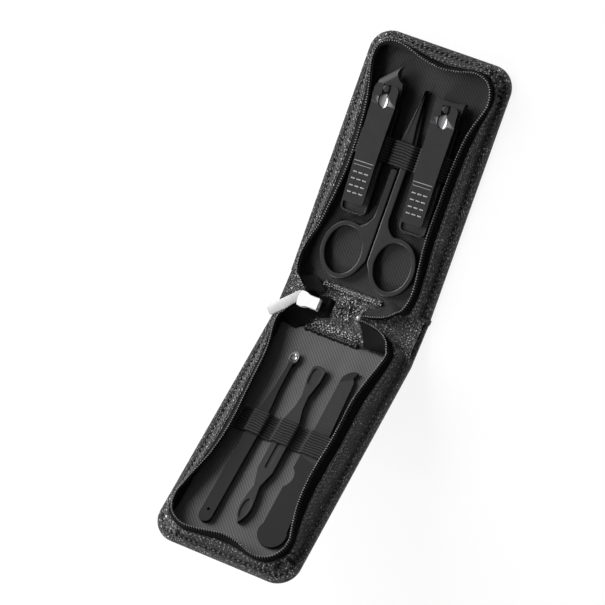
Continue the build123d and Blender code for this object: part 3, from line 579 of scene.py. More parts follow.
# The zip's line from its stop round the half to its slider: x, y and the height, where it isn't
# the full rim height.
rims = dict(
    upper=[(4.1, -7.4, 4.0), (7.5, -6.6, 4.6), (10.85, -5.86, 5.2), (15.05, -4.5, 6.3),
           (18.2, -2.6, 7.2), (20.7, 0.0, 8.1), (22.9, 3.0, 8.9), (24.2, 6.8, 9.4), (24.65, 12),
           (23.8, 20.6), (22.8, 29), (22.4, 37), (22.5, 50), (22.6, 62), (23.2, 73), (24.1, 80),
           (25.5, 85.8), (27.2, 90.8), (28.1, 95.7), (26.9, 101), (23.5, 105.0), (17.3, 106.1),
           (10.7, 104.4), (2.7, 103.5), (-6.1, 104.8), (-14.1, 107.2), (-20.3, 107.8), (-24.4, 106.5),
           (-26.9, 103.4), (-27.5, 98), (-26.3, 92), (-24.2, 84), (-22.7, 73), (-22.1, 62), (-22.0, 52),
           (-22.9, 41), (-23.9, 33), (-25.2, 24), (-27.4, 17), (-28.6, 9.5), (-27.9, 2.8, 9.3),
           (-25.9, -0.8, 8.9), (-23.4, -3.7, 8.3), (-21.0, -5.4, 7.3)],
    lower=[(5.2, -10.9, 4.0), (9.85, -10.4, 5.0), (14.2, -9.6, 6.0), (17.97, -8.1, 7.0),
           (20.9, -5.7, 7.9), (22.9, -2.2, 8.7), (23.7, 1.8, 9.3), (23.8, 6.0), (22.4, 14.6),
           (21.4, 21), (20.7, 28), (20.9, 38), (21.1, 48), (20.7, 58), (20.6, 68), (21.7, 79),
           (24.0, 88.5), (25.9, 95), (25.2, 100.7), (21.4, 105.6), (15, 107.2), (6.3, 104.9),
           (-1.1, 104.0), (-12.4, 106.0), (-19.5, 106.2), (-25.7, 102.5), (-28.0, 95.6), (-26.9, 88),
           (-25.0, 80), (-23.4, 73), (-22.4, 63), (-22.4, 53), (-23.2, 41), (-23.7, 32), (-24.1, 24.5),
           (-25.0, 17.5), (-26.6, 11.2), (-27.6, 6.6, 9.5), (-27.7, 2.8, 9.2), (-27.3, -0.4, 8.9),
           (-26.5, -2.9, 8.5), (-25.4, -5.2, 8.0), (-23.8, -7.4, 7.5), (-21.6, -9.6, 6.8)])
# For the rows in the hinge corners, at the stop and at the slider: the foot of the tape and the foot
# of the lining.
hingeRows = dict(
    upper=([((4.3, -7.9, 2.5), (3.6, -6.6, 2.9)), ((8.0, -7.3, 2.5), (7.4, -3.2, 3.2)),
            ((11.7, -6.4, 2.5), (10.8, -1.0, 3.7)), ((15.9, -4.6, 2.7), (13.2, 1.4, 4.0)),
            ((19.6, -1.6, 3.4), (16.2, 3.4, 4.0))],
           [((-26.6, -1.2, 3.2), (-20.0, 2.6, 4.0)), ((-24.4, -4.4, 2.8), (-17.0, 0.2, 3.9)),
            ((-22.2, -6.2, 2.7), (-14.2, -2.6, 3.4))]),
    lower=([((5.0, -11.5, 2.5), (4.2, -10.0, 2.9)), ((10.2, -11.2, 2.5), (6.6, -8.0, 3.2)),
            ((14.8, -10.2, 2.5), (8.2, -5.6, 3.4)), ((18.9, -8.5, 2.7), (10.2, -2.6, 3.7)),
            ((21.9, -6.2, 3.3), (13.0, 0.6, 4.0))],
           [((-27.8, -0.5, 3.2), (-20.2, 3.8, 4.0)), ((-27.0, -3.0, 3.0), (-18.6, 1.8, 4.0)),
            ((-25.8, -5.4, 2.9), (-17.2, -0.4, 3.8)), ((-24.2, -7.8, 2.8), (-15.4, -3.4, 3.6)),
            ((-22.0, -10.2, 2.7), (-12.8, -7.4, 3.3))]))
# where the leather of the wall starts and stops: base and top at the stop, base and top at the slider
leatherEnds = dict(upper=((30.2, 2.4, 2.3), (21.8, 2.8, 5.6), (-30.2, 1.2, 2.3), (-28.0, 1.0, 6.4)),
                   lower=((30.4, -3.3, 2.3), (20.4, -8.2, 3.0), (-30.2, -0.8, 2.3), (-27.8, -0.9, 5.2)))


def edgeBase(x, y, inset, height):
    # nearest point of the cover's outline, that far in from its edge
    centreX, centreY = case["halfWidth"] - case["corner"], case["length"] - case["corner"]
    if y > centreY and abs(x) > centreX:
        away = np.array([abs(x) - centreX, y - centreY])
        away = away / np.linalg.norm(away) * (case["corner"] - inset)
        return (math.copysign(centreX + away[0], x), centreY + away[1], height)
    sideGap, endGap = case["halfWidth"] - inset - abs(x), case["length"] - inset - y
    if endGap < sideGap:
        return (x, case["length"] - inset, height)
    return (math.copysign(case["halfWidth"] - inset, x), y, height)


def wallRows(half):
    # control rows: rim, base and top of the leather, foot of the tape, foot of the lining, row number
    rim = [np.array((*p, wall["rimHeight"])[:3]) for p in rims[half]]
    start, end = hingeRows[half]
    rows = []
    for i, r in enumerate(rim):
        if i < len(start):
            base, top = leatherEnds[half][:2]
            foot, liner = start[i]
        elif i >= len(rim) - len(end):
            base, top = leatherEnds[half][2:]
            foot, liner = end[i - len(rim)]
        else:
            base = np.array(edgeBase(r[0], r[1], wall["inset"], wall["baseHeight"]))
            top = base + (r - base) * wall["leatherShare"]
            foot = base + (r - base) * wall["footShare"]
            liner = edgeBase(r[0], r[1], wall["linerInset"], wall["linerHeight"])
        rows.append(np.concatenate([r, base, top, foot, liner, [i]]))
    return np.array(rows), len(start), len(rim) - len(end)


print("layout ready")

walls = {}
for half in ("upper", "lower"):
    rows, firstFull, lastFull = wallRows(half)
    line = smoothLine(rows, wall["samples"])
    names = ("rim", "base", "top", "foot", "liner")
    walls[half] = {name: line[:, 3 * k:3 * k + 3] for k, name in enumerate(names)}
    walls[half]["leather"] = (line[:, -1] >= firstFull - 1) & (line[:, -1] <= lastFull)
print("walls laid out")


def inwardOf(line):
    # unit vectors in the half's plane, across the line towards the middle of the half
    along = np.gradient(line[:, :2], axis=0)
    side = unitRows(np.stack([along[:, 1], -along[:, 0]], axis=1))
    if np.sum(side * ((0, 50.0) - line[:, :2])) < 0:
        side = -side
    return np.concatenate([side, np.zeros((len(line), 1))], axis=1)


def leatherOf(half):
    # base and top of the wall where there is leather, and the way outwards at each point
    part = walls[half]
    keep = part["leather"]
    base = np.array([edgeBase(p[0], p[1], wall["inset"], wall["baseHeight"]) for p in part["base"][keep]])
    edge = np.array([edgeBase(p[0], p[1], 0.0, p[2]) for p in base])
    return base, part["top"][keep], unitRows(edge - base)


# flange: inset from the cover's edge and height, from the edge over the sunk seam to the wall;
# lean: how far the bulge moves the wall out and up; the valley, ridge and corner values: painted shade in the
# valleys of the corner folds, painted highlight on their ridges and a little painted highlight over the whole
# corner
gussetLook = dict(thickness=0.9, steps=12, wave=0.3, waveSize=13.0, waveLeast=0.3, pleat=1.5,
                  pleatPitch=3.0, pleatLeast=0.25, drift=0.8, driftSize=9.0, cornerInset=5.9,
                  cornerReach=9.0, edgeWave=0.06, edgeSize=7.0, edgeTuck=0.12, tuckRate=2.4,
                  lean=(0.78, 0.624), valleyShade=-0.17, ridge=0.75, corner=0.08,
                  flange=[(0.2, 1.1), (0.0, 1.5), (0.1, 1.95), (0.5, 2.3), (1.2, 2.5), (1.9, 2.42),
                          (2.4, 2.15), (2.7, 1.8), (2.95, 1.85), (3.1, 2.25)])


def cornerness(base):
    # 1 in the middle of a far corner, 0 away from it
    inset = gussetLook["cornerInset"]
    centre = np.array([case["halfWidth"] - inset, case["length"] - inset])
    near = np.stack([np.abs(base[:, 0]), base[:, 1]], axis=1) - centre
    return np.exp(-np.sum(near ** 2, axis=1) / gussetLook["cornerReach"] ** 2)


def pleatAt(phase):
    # round ridges with narrow valleys between them
    return 2 * np.abs(np.sin(phase)) ** 0.7 - 1.2


def foldHighlightAndShade(corner, pleat):
    # painted highlight on the ridges of the corner folds, painted shade in the valleys
    look = gussetLook
    return np.maximum(look["valleyShade"], corner * (look["corner"] + look["ridge"] * pleat))


def makeGusset(half):
    # leather wall: flange on the cover's edge, sunk seam, then the wall leaning in to the tape
    look = gussetLook
    base, top, away = leatherOf(half)
    along = distanceAlong(base)
    turns = along * math.pi / look["pleatPitch"]
    corner = cornerness(base)
    # each column also carries the corner folds' painted highlight and shade, kept as crush
    columns, marks = [], []
    for inset, height in look["flange"]:
        spot = base + away * (wall["inset"] - inset)
        tuck = look["edgeTuck"] * corner * np.sin(along * look["tuckRate"])
        spot[:, 2] = height + look["edgeWave"] * ripple(along, inset * 3, look["edgeSize"], seed=4) + tuck
        columns.append(spot)
        marks.append(foldHighlightAndShade(corner, pleatAt(turns)))
    lean = away * look["lean"][0] + np.array([0, 0, look["lean"][1]])
    for v in np.linspace(0.1, 1, look["steps"]):
        hump = math.sin(math.pi * v)
        pleat = pleatAt(turns + look["drift"] * ripple(along, v * 2, look["driftSize"], seed=6))
        wave = look["wave"] * ripple(along, v * 9, look["waveSize"], seed=5)
        move = wall["bulge"] * hump + wave * (look["waveLeast"] + hump)
        move = move + look["pleat"] * corner * pleat * (look["pleatLeast"] + hump)
        columns.append(base + (top - base) * v + lean * move[:, None])
        marks.append(foldHighlightAndShade(corner, pleat))
    piece = makeSheet(half + "_gusset_leather", np.stack(columns, axis=1), inHalf(half),
                      look["thickness"], flip=half == "upper", smooth=50, crush=np.stack(marks, axis=1))
    finishPiece(piece, wallLeather, fold=half,
                replaced=[half + "_gusset", half + "_corner_by_stop", half + "_corner_by_slider"])


tapeLook = dict(thickness=0.45, belowRim=0.5, stand=0.45, hollow=0.15)


def makeTape(half):
    # woven tape from the top of the leather up to the coil
    rim, foot = walls[half]["rim"], walls[half]["foot"]
    side = inwardOf(rim)
    edge = rim - np.array([0, 0, tapeLook["belowRim"]])
    columns = []
    for v in np.linspace(0, 1, 8):
        move = tapeLook["stand"] * (1 - v) - tapeLook["hollow"] * math.sin(math.pi * v)
        columns.append(foot + (edge - foot) * v + side * move)
    piece = makeSheet(half + "_tape", np.stack(columns, axis=1), inHalf(half), tapeLook["thickness"],
                      flip=half == "upper", smooth=50)
    finishPiece(piece, tapeFabric, fold=half, replaced=[half + "_zip_tape"])


linerLook = dict(thickness=0.3, belowRim=0.75, stand=0.75, wave=0.35, waveSize=12.0, sag=0.5)


def makeLiner(half):
    # lining of the wall, from the coil down to the padded floor
    rim, foot = walls[half]["rim"], walls[half]["liner"]
    side = inwardOf(rim)
    along = distanceAlong(rim)
    start = rim - np.array([0, 0, linerLook["belowRim"]])
    columns = []
    for v in np.linspace(0, 1, 10):
        hump = math.sin(math.pi * v)
        wave = linerLook["wave"] * hump * ripple(along, v * 8, linerLook["waveSize"], seed=8)
        move = linerLook["stand"] * (1 - v) + wave
        spot = start + (foot - start) * v + side * move[:, None]
        spot[:, 2] -= linerLook["sag"] * hump * np.clip(rim[:, 2] - 5, 0, 1)
        columns.append(spot)
    piece = makeSheet(half + "_wall_lining", np.stack(columns, axis=1), inHalf(half), linerLook["thickness"],
                      flip=half == "upper", smooth=50)
    # the wall lining's dark tones are painted shade
    finishPiece(piece, wallLinerShade[half], fold=half)


# back: how far a loop reaches behind the line; neck, head and tip: the steps of its thick end, which
# grows by swell and shrinks by taper
coilLook = dict(pitch=1.1, width=0.34, length=1.2, height=0.38, back=0.2, neck=0.1, head=0.28, tip=0.12,
                swell=(1.25, 1, 1.5), taper=(0.5, 1, 0.55), round=0.07, headFrom=0.24)


def makeTooth():
    # one turn of the coil: a flat loop with a thicker head, whose faces get grey nylon as a painted highlight
    # on the black coil
    look = coilLook
    tooth = cubeFrom((look["width"], look["length"], look["height"]),
                     (0, -look["length"] / 2 + look["back"], 0))
    enterEdit(tooth, "DESELECT")
    leaveEdit()
    for face in tooth.data.polygons:
        face.select = face.normal.y > 0.9
    bpy.ops.object.mode_set(mode="EDIT")
    bpy.ops.mesh.extrude_region_move(TRANSFORM_OT_translate={"value": (0, look["neck"], 0)})
    bpy.ops.transform.resize(value=look["swell"])
    bpy.ops.mesh.extrude_region_move(TRANSFORM_OT_translate={"value": (0, look["head"], 0)})
    bpy.ops.mesh.extrude_region_move(TRANSFORM_OT_translate={"value": (0, look["tip"], 0)})
    bpy.ops.transform.resize(value=look["taper"])
    bpy.ops.mesh.select_all(action="SELECT")
    bpy.ops.mesh.bevel(offset=look["round"], segments=1, affect="EDGES")
    leaveEdit()
    tooth.data.materials.append(coilLeg)
    tooth.data.materials.append(coilHeadHighlight)
    smoothFaces(tooth)
    for face in tooth.data.polygons:
        face.material_index = 1 if face.center.y > look["headFrom"] else 0
    return tooth


def makeCoil(half):
    # teeth along the rim, each standing up the slope of the tape
    part = walls[half]
    both = np.concatenate([laid(half, part["rim"]), laid(half, part["foot"])], axis=1) * 1000
    line = smoothLine(both[::3], int(distanceAlong(both[:, :3])[-1] / coilLook["pitch"]))
    rim, foot = line[:, :3], line[:, 3:]
    places = frames(rim / 1000, np.gradient(rim, axis=0), unitRows(rim - foot))
    coil = manyCopies(half + "_coil", makeTooth(), places)
    finishPiece(coil, fold=half,
                replaced=[half + "_zip_coil", half + "_coil_end_by_stop", half + "_coil_end_by_slider"])


def makeStitch(size):
    # one stitch, rounded towards its ends
    stitch = cubeFrom(size)
    enterEdit(stitch)
    bpy.ops.mesh.subdivide(number_cuts=1)
    bpy.ops.transform.tosphere(value=0.35)
    leaveEdit()
    smoothFaces(stitch)
    return stitch


def sewRows(name, half, rows):
    # each row: spots in the half's layout, the way that faces out of the seam, spacing, stitch size
    seams = []
    for spots, facing, pitch, size in rows:
        both = np.concatenate([laid(half, spots) * 1000, np.broadcast_to(facing, spots.shape)], axis=1)
        line = smoothLine(both[::2], max(3, int(distanceAlong(both[:, :3])[-1] / pitch)))
        centre, normal = line[:, :3], line[:, 3:]
        along = np.gradient(centre, axis=0)
        places = frames(centre / 1000, along, unitRows(np.cross(normal, along)))
        seams.append(manyCopies(name, makeStitch(size), places))
    return joinPieces(name, seams)


wallSeams = dict(low=dict(pitch=2.3, size=(1.5, 0.42, 0.34), out=0.3, level=2.15),
                 high=dict(pitch=1.9, size=(1.2, 0.36, 0.3), out=0.62, share=0.9, lift=0.25))


def makeWallStitches(half):
    # seams of the wall: one sunk in the flange, one along the top of the leather
    base, top, away = leatherOf(half)
    low, high = wallSeams["low"], wallSeams["high"]
    facing = unitRows(laid(half, base + away + np.array([0, 0, 1.5])) - laid(half, base))
    groove = base + away * low["out"]
    groove[:, 2] = low["level"]
    ridge = base + (top - base) * high["share"] + away * high["out"]
    ridge[:, 2] += high["lift"]
    piece = sewRows(half + "_wall_stitches", half, [(groove, facing, low["pitch"], low["size"]),
                                                    (ridge, facing, high["pitch"], high["size"])])
    finishPiece(piece, threadBlack, fold=half)


for half in ("upper", "lower"):
    makeGusset(half)
    makeTape(half)
    makeLiner(half)
    makeCoil(half)
    makeWallStitches(half)
    print(half, "walls, tape and coil made")

coverLook = dict(thickness=1.2, edge=0.45, edgeSteps=3, columns=24, seam=0.3, sharp=60)


def panelHalfWidth(y, inset, corner):
    # half the width of a panel at y, that far in from the cover's edge
    reach = case["length"] - inset
    away = np.clip(y - (reach - corner), 0, corner)
    return float(case["halfWidth"] - inset - corner + math.sqrt(max(corner ** 2 - away ** 2, 0)))


def coverRows():
    # closer rows over the fold and round the far corners
    near = np.linspace(-case["spine"] / 2, -3.2, 6)
    fold = np.linspace(-2.8, 2.8, 15)
    straight = case["length"] - case["corner"]
    corner = straight + case["corner"] * np.sin(np.linspace(0.08, math.pi / 2 - 0.02, 14))
    return np.concatenate([near, fold, np.linspace(4, straight, 30), corner])


def makeCover(half):
    # a panel and the near half of the spine in one piece, rounded all round but where the halves meet
    rows = []
    for y in coverRows():
        xs = np.linspace(-1, 1, coverLook["columns"]) * panelHalfWidth(y, 0, case["corner"])
        rows.append(np.stack([xs, np.full_like(xs, y), np.zeros_like(xs)], axis=1))
    cover = makeSheet(half + "_cover", rows, inHalf(half), coverLook["thickness"], flip=half == "upper",
                      smooth=None)
    seam = onSpine([(0, case["spine"] / 2, 0)])[0]
    enterEdit(cover, "DESELECT")
    bpy.ops.mesh.select_mode(type="EDGE")
    bpy.ops.mesh.edges_select_sharp(sharpness=math.radians(coverLook["sharp"]))
    leaveEdit()
    for edge in cover.data.edges:
        ends = [np.array(cover.data.vertices[i].co) for i in edge.vertices]
        if all(abs((p - seam) @ spineOut) < coverLook["seam"] / 1000 for p in ends):
            edge.select = False
    bpy.ops.object.mode_set(mode="EDIT")
    bpy.ops.mesh.bevel(offset=coverLook["edge"] / 1000, segments=coverLook["edgeSteps"], affect="EDGES",
                       clamp_overlap=True)
    leaveEdit()
    shadeSmooth(cover, coverLook["sharp"])
    finishPiece(cover, coverLeather, fold=half, foldReach=2.4,
                replaced=[half + "_cover_panel", half + "_board", "spine_leather"])


for half in ("upper", "lower"):
    makeCover(half)
print("cover made")

# crumpled leather inside the hinge; patch: the part crushed most, strip: beside the lower hem, each
# with its middle and its reach, x and y; rise: the hump's height, humpX and humpReach: where it is; the sheen
# values:
# painted highlight on the crushed patch, how much it varies, and painted highlight on the strip
hingeLook = dict(thickness=0.7, halfWidth=31.2, end=2.6, columns=230, rows=44, level=2.3, rise=0.9,
                 humpX=-1.5, humpReach=9.0, crumple=0.6, crumpleSize=5.0, fine=0.3, fineSize=2.2,
                 pleat=0.34, pleatX=1.7, drift=1.7, driftSize=6.0, patch=(-2.4, 6.4, 4.8, 4.4),
                 strip=(-3.4, 17.2, 12.5, 1.7), paintedStripSheen=0.6, paintedPatchSheen=(0.9, 0.5), paintedSheenSize=3.0,
                 hemLevel=3.3, hemReach=22.0)


def hingePatch(x, ys):
    # 1 on the crushed patch in the middle of the hinge
    centreX, centreY, reachX, reachY = hingeLook["patch"]
    return np.exp(-((x - centreX) / reachX) ** 4 - ((ys - centreY) / reachY) ** 4)


def hingeHeight(x, ys):
    # height of the hinge's inner leather above the spine, y from the upper fold
    look = hingeLook
    middle = np.exp(-((x - look["humpX"]) / look["humpReach"]) ** 2)
    crumple = look["crumple"] * ripple(x, ys, look["crumpleSize"], seed=21)
    crumple = crumple + look["fine"] * ripple(x, ys, look["fineSize"], seed=22)
    drift = look["drift"] * ripple(x, ys, look["driftSize"], seed=23)
    pleat = np.sin(x * 2 * math.pi / look["pleatX"] + drift)
    return (look["level"] + look["rise"] * middle + crumple * (0.2 + 0.6 * middle)
            + look["pleat"] * hingePatch(x, ys) * pleat)


def makeHingeLeather(half):
    look = hingeLook
    stripX, stripY, reachX, reachY = look["strip"]
    xs = np.linspace(-look["halfWidth"], look["halfWidth"], look["columns"])
    rows, crush = [], []
    for y in np.linspace(-case["spine"] / 2, look["end"], look["rows"]):
        across = -y if half == "upper" else case["spine"] + y
        zs = hingeHeight(xs, across)
        if y > 0:
            zs = zs + (look["hemLevel"] - zs) * np.clip(y / 2, 0, 1) * np.exp(-(xs / look["hemReach"]) ** 4)
        rows.append(np.stack([xs, np.full_like(xs, y), zs], axis=1))
        # crush here paints highlight on the crushed patch, unevenly, and on the strip beside the lower hem
        strip = np.exp(-((across - stripY) / reachY) ** 2 - ((xs - stripX) / reachX) ** 6)
        shine, uneven = look["paintedPatchSheen"]
        patchSheen = shine + uneven * ripple(xs, np.full_like(xs, across), look["paintedSheenSize"], seed=24)
        crush.append(hingePatch(xs, across) * patchSheen + look["paintedStripSheen"] * strip)
    piece = makeSheet(half + "_hinge_leather", rows, inHalf(half), look["thickness"], flip=half == "lower",
                      crush=crush)
    finishPiece(piece, innerLeather, fold=half, foldReach=2.4, replaced=["spine_lining"])


for half in ("upper", "lower"):
    makeHingeLeather(half)

# fold: height of the roll near the right edge, which starts foldFrom before it
tailLook = dict(thickness=0.4, left=-22.5, right=-8.6, near=4.6, far=13.2, lift=0.1, height=0.45,
                fold=0.7, foldFrom=2.6, foldWidth=1.6, lump=0.35, lumpSize=4.5, skew=0.5)


def makeTapeTails():
    # ends of both tapes, folded flat beside the slider
    look = tailLook
    xs = np.linspace(look["left"], look["right"], 34)
    rows = []
    for v in np.linspace(0, 1, 24):
        skew = look["skew"] * np.sin(xs * 0.9) * (2 * v - 1)
        ys = look["near"] + (look["far"] - look["near"]) * v + skew
        fold = np.clip((xs - look["right"] + look["foldFrom"]) / look["foldWidth"], 0, 1)
        lump = look["lump"] * ripple(xs, ys, look["lumpSize"], seed=61)
        lump = look["fold"] * np.sin(fold * math.pi) + lump
        edge = np.minimum(np.minimum(v, 1 - v) * 8, 1) * np.minimum((look["right"] - xs) / 0.8, 1)
        zs = hingeHeight(xs, ys) + look["lift"] + (look["height"] + lump) * edge
        rows.append(np.stack([xs, ys, zs], axis=1))
    piece = makeSheet("tape_tails", rows, onSpine, look["thickness"], offset=0.0)
    finishPiece(piece, tapeFabric, body="spine")


makeTapeTails()
print("hinge leather made")

# hem: where the turned edge starts and ends across the case
liningLook = dict(thickness=1.1, inset=5.0, top=3.8, corner=7.0, edgeDrop=1.1, edgeReach=0.7,
                  wave=0.1, waveSize=16.0, hem=dict(upper=(-16.2, 11.4), lower=(-16.2, 9.2)))


def makeLining(half, twill):
    # padded floor of a half, turned down softly at its edges
    look = liningLook
    reach = case["length"] - look["inset"]
    spread = math.pi / 2 * 0.96
    corner = reach - look["corner"] + look["corner"] * np.sin(np.linspace(0.1, math.pi / 2 - 0.03, 10))
    rows = []
    for y in np.concatenate([[1.0, 1.2, 1.7, 2.4], np.linspace(3.4, 100, 60), corner]):
        w = panelHalfWidth(y, look["inset"], look["corner"])
        xs = np.sin(np.linspace(-1, 1, 60) * spread) / math.sin(spread) * w
        fromEdge = np.minimum(np.minimum(w - np.abs(xs), y - 0.9), reach - y + 0.05)
        drop = look["edgeDrop"] * np.exp(-np.maximum(fromEdge, 0) / look["edgeReach"])
        wave = look["wave"] * ripple(xs, np.full_like(xs, y), look["waveSize"], seed=31)
        zs = look["top"] - drop + wave
        rows.append(np.stack([xs, np.full_like(xs, y), zs], axis=1))
    piece = makeSheet(half + "_padded_lining", rows, inHalf(half), look["thickness"], flip=half == "lower")
    finishPiece(piece, twill, body=half + "_half", replaced=[half + "_lining"])


# middle, reach: the roll's y and z; rows: y of each row of chain stitches and the seed of its wave
hemLook = dict(thickness=0.5, middle=(1.4, 3.4), reach=(1.45, 1.15), crush=0.3, crushSize=2.4, pitch=1.25,
               size=(1.0, 0.3, 0.24), rows=((0.5, 42), (1.7, 43)), ends=0.6, level=4.5, wave=0.22,
               waveSize=3.0, sway=0.3, swayRate=2.6)


def makeHem(half):
    # turned edge of the lining, rolled over at the fold, with chain stitches
    low, high = liningLook["hem"][half]
    xs = np.linspace(low, high, 70)
    columns = []
    for angle in np.linspace(-0.6, math.pi + 0.3, 14):
        crush = 1 + hemLook["crush"] * ripple(xs, np.full_like(xs, angle * 2), hemLook["crushSize"], seed=41)
        y = hemLook["middle"][0] - math.cos(angle) * hemLook["reach"][0] * crush
        z = hemLook["middle"][1] + math.sin(angle) * hemLook["reach"][1] * crush
        columns.append(np.stack([xs, y, z], axis=1))
    piece = makeSheet(half + "_hem", np.stack(columns, axis=1), inHalf(half), hemLook["thickness"],
                      flip=half == "upper")
    finishPiece(piece, innerLeather if half == "upper" else linerFabric,
                body=half + "_half", replaced=[half + "_lining_hem"])
    rows = []
    for y, seed in hemLook["rows"]:
        line = np.linspace(low + hemLook["ends"], high - hemLook["ends"], 40)
        level = hemLook["level"] + hemLook["wave"] * ripple(line, line * 0, hemLook["waveSize"], seed)
        sway = hemLook["sway"] * np.sin(line * hemLook["swayRate"])
        spots = np.stack([line, y + sway, level], axis=1)
        rows.append((spots, halves[half][2], hemLook["pitch"], hemLook["size"]))
    piece = sewRows(half + "_hem_stitches", half, rows)
    finishPiece(piece, threadPale if half == "upper" else threadBlack, body=half + "_half")


# rows: y, seed of the unevenness, first and last x
hingeSeams = dict(rows=((-1.5, 44, -14.4, 7.0), (-2.5, 45, -13.6, 7.8), (-3.5, 46, -12.8, 6.2)), wander=0.4,
                  wanderSize=3.2, lift=0.12, pitch=1.45, size=(0.95, 0.34, 0.24))


def makeHingeStitches():
    # uneven chain rows where the lower lining is sewn to the hinge leather
    rows = []
    for y, seed, start, end in hingeSeams["rows"]:
        line = np.linspace(start, end, 36)
        ys = y + hingeSeams["wander"] * ripple(line, line * 0, hingeSeams["wanderSize"], seed)
        zs = hingeHeight(line, case["spine"] + ys) + hingeSeams["lift"]
        rows.append((np.stack([line, ys, zs], axis=1), spineUp, hingeSeams["pitch"], hingeSeams["size"]))
    piece = sewRows("lower_hinge_stitches", "lower", rows)
    finishPiece(piece, threadPale, fold="lower", foldReach=2.4)


makeLining("upper", upperTwill)
makeLining("lower", lowerTwill)
for half in ("upper", "lower"):
    makeHem(half)
makeHingeStitches()
print("linings made")

# near: the band's edge towards the fold; bays: for each tool its middle, the half widths of the band at
# its foot and its crown, and the heights of its shoulder and top; tacks: where it is sewn down
bandLook = dict(thickness=0.6, sheet=0.45, width=10.8, end=22.0, foot=4.1, ribs=9, ribDepth=0.42,
                pull=0.38, pullSize=9.0, fray=0.12, fraySize=3.0, frayInside=0.4, spacing=0.32, samples=91)
bands = dict(
    upper=dict(near=58.2, tacks=(-6.86, 5.75),
               bays=[(-14.52, 6.5, 5.6, 8.3, 9.39), (-0.5, 5.2, 3.6, 6.3, 7.86),
                     (13.33, 6.52, 5.6, 8.3, 9.39)]),
    lower=dict(near=45.4, tacks=(-5.6, 7.3),
               bays=[(-13.1, 3.3, 3.2, 4.82, 6.2), (0.09, 3.9, 3.8, 4.9, 6.4),
                     (15.05, 5.15, 5.05, 4.62, 5.7)]))


elasticFabric = elasticMaterial("ribbed_elastic", bandLook["ribs"], bandLook["width"])


def bandProfile(half):
    # x and z along the band, over each tool and down to the lining between them
    points = [(-bandLook["end"], bandLook["foot"])]
    gap = bandLook["thickness"] / 2
    sewn = [*bands[half]["tacks"], bandLook["end"]]
    for (middle, foot, crown, shoulder, top), down in zip(bands[half]["bays"], sewn):
        points += [(middle - foot - gap, shoulder), (middle - crown - gap / 2, top + gap),
                   (middle + crown + gap / 2, top + gap), (middle + foot + gap, shoulder),
                   (down, bandLook["foot"])]
    points = np.array(points)
    length = distanceAlong(points)
    spots = np.arange(0, length[-1], bandLook["spacing"])
    line = np.stack([np.interp(spots, length, points[:, k]) for k in (0, 1)], axis=1)
    for _ in range(3):
        line[1:-1] = line[1:-1] * 0.5 + (line[:-2] + line[2:]) * 0.25
    return line


def makeBand(half):
    # ribbed elastic, its ribs pulled a little out of line
    look = bandLook
    profile = bandProfile(half)
    tangent = np.gradient(profile, axis=0)
    normal = unitRows(np.stack([-tangent[:, 1], tangent[:, 0]], axis=1))
    rows = []
    for v in np.linspace(0, 1, look["samples"]):
        pull = ripple(profile[:, 0], np.full(len(profile), v * 5), look["pullSize"], seed=51)
        pull = math.sin(v * math.pi) * pull
        fray = ripple(profile[:, 0], profile[:, 1], look["fraySize"], seed=52)
        fray = fray * (1 if v in (0, 1) else look["frayInside"])
        y = bands[half]["near"] + v * look["width"] + look["pull"] * pull + look["fray"] * fray
        rib = look["ribDepth"] * (abs(math.sin(math.pi * look["ribs"] * v)) ** 0.6 - 0.5)
        x, z = (profile + normal * rib).T
        rows.append(np.stack([x, y, z], axis=1))
    piece = makeSheet(half + "_band", rows, inHalf(half), look["sheet"], flip=half == "lower", offset=0.0,
                      lengths=np.linspace(0, look["width"], look["samples"]))
    finishPiece(piece, elasticFabric, body=half + "_half", replaced=[half + "_elastic_band"])


tackLook = dict(pitch=1.5, size=(1.0, 0.3, 0.3), level=4.75, before=0.2, past=0.7, sway=0.12)


def makeBandTacks(half):
    # short rows of stitches that sew the band down between its tools
    near = bands[half]["near"]
    line = np.linspace(near - tackLook["before"], near + bandLook["width"] + tackLook["past"], 14)
    rows = []
    for x in bands[half]["tacks"]:
        xs = x + tackLook["sway"] * np.sin(line * 2)
        spots = np.stack([xs, line, np.full_like(line, tackLook["level"])], axis=1)
        rows.append((spots, halves[half][2], tackLook["pitch"], tackLook["size"]))
    finishPiece(sewRows(half + "_band_tacks", half, rows), coilLeg, body=half + "_half")


for half in ("upper", "lower"):
    makeBand(half)
    makeBandTacks(half)
print("elastic bands made")

# x and y of each clipper's tail and how far it is turned; level: the base of both
clipperPlaces = dict(square=(14.4, 34.3, 2.1), side=(-13.5, 34.3, 2.0), level=4.1)


def onClipper(kind, points):
    # x, y from the clipper's tail and z from its base, in millimetres
    tailX, tailY, turn = clipperPlaces[kind]
    x, y, z = np.asarray(points, float).reshape(-1, 3).T
    c, s = math.cos(math.radians(turn)), math.sin(math.radians(turn))
    spots = np.stack([tailX + x * c - y * s, tailY + x * s + y * c, clipperPlaces["level"] + z], axis=1)
    return laid("upper", spots)


troughLook = dict(thickness=0.12, half=2.32, start=45.15, end=51.25, floor=6.08, rise=1.0)


def makeKeyholeTrough(kind):
    # polished hollow in the arm's back, seen through the lever's keyhole
    look = troughLook
    xs = np.linspace(-1, 1, 17)
    rows = []
    for v in np.linspace(0, 1, 12):
        y = look["start"] + (look["end"] - look["start"]) * v
        narrow = math.sqrt(max(0.03, 1 - (2 * v - 1) ** 2))
        zs = look["floor"] + look["rise"] * xs ** 2 * narrow
        rows.append(np.stack([xs * look["half"] * narrow, np.full_like(xs, y), zs], axis=1))
    piece = makeSheet(kind + "_clipper_trough", rows, lambda points: onClipper(kind, points),
                      look["thickness"])
    finishPiece(piece, chrome, body=kind + "_clipper_top")


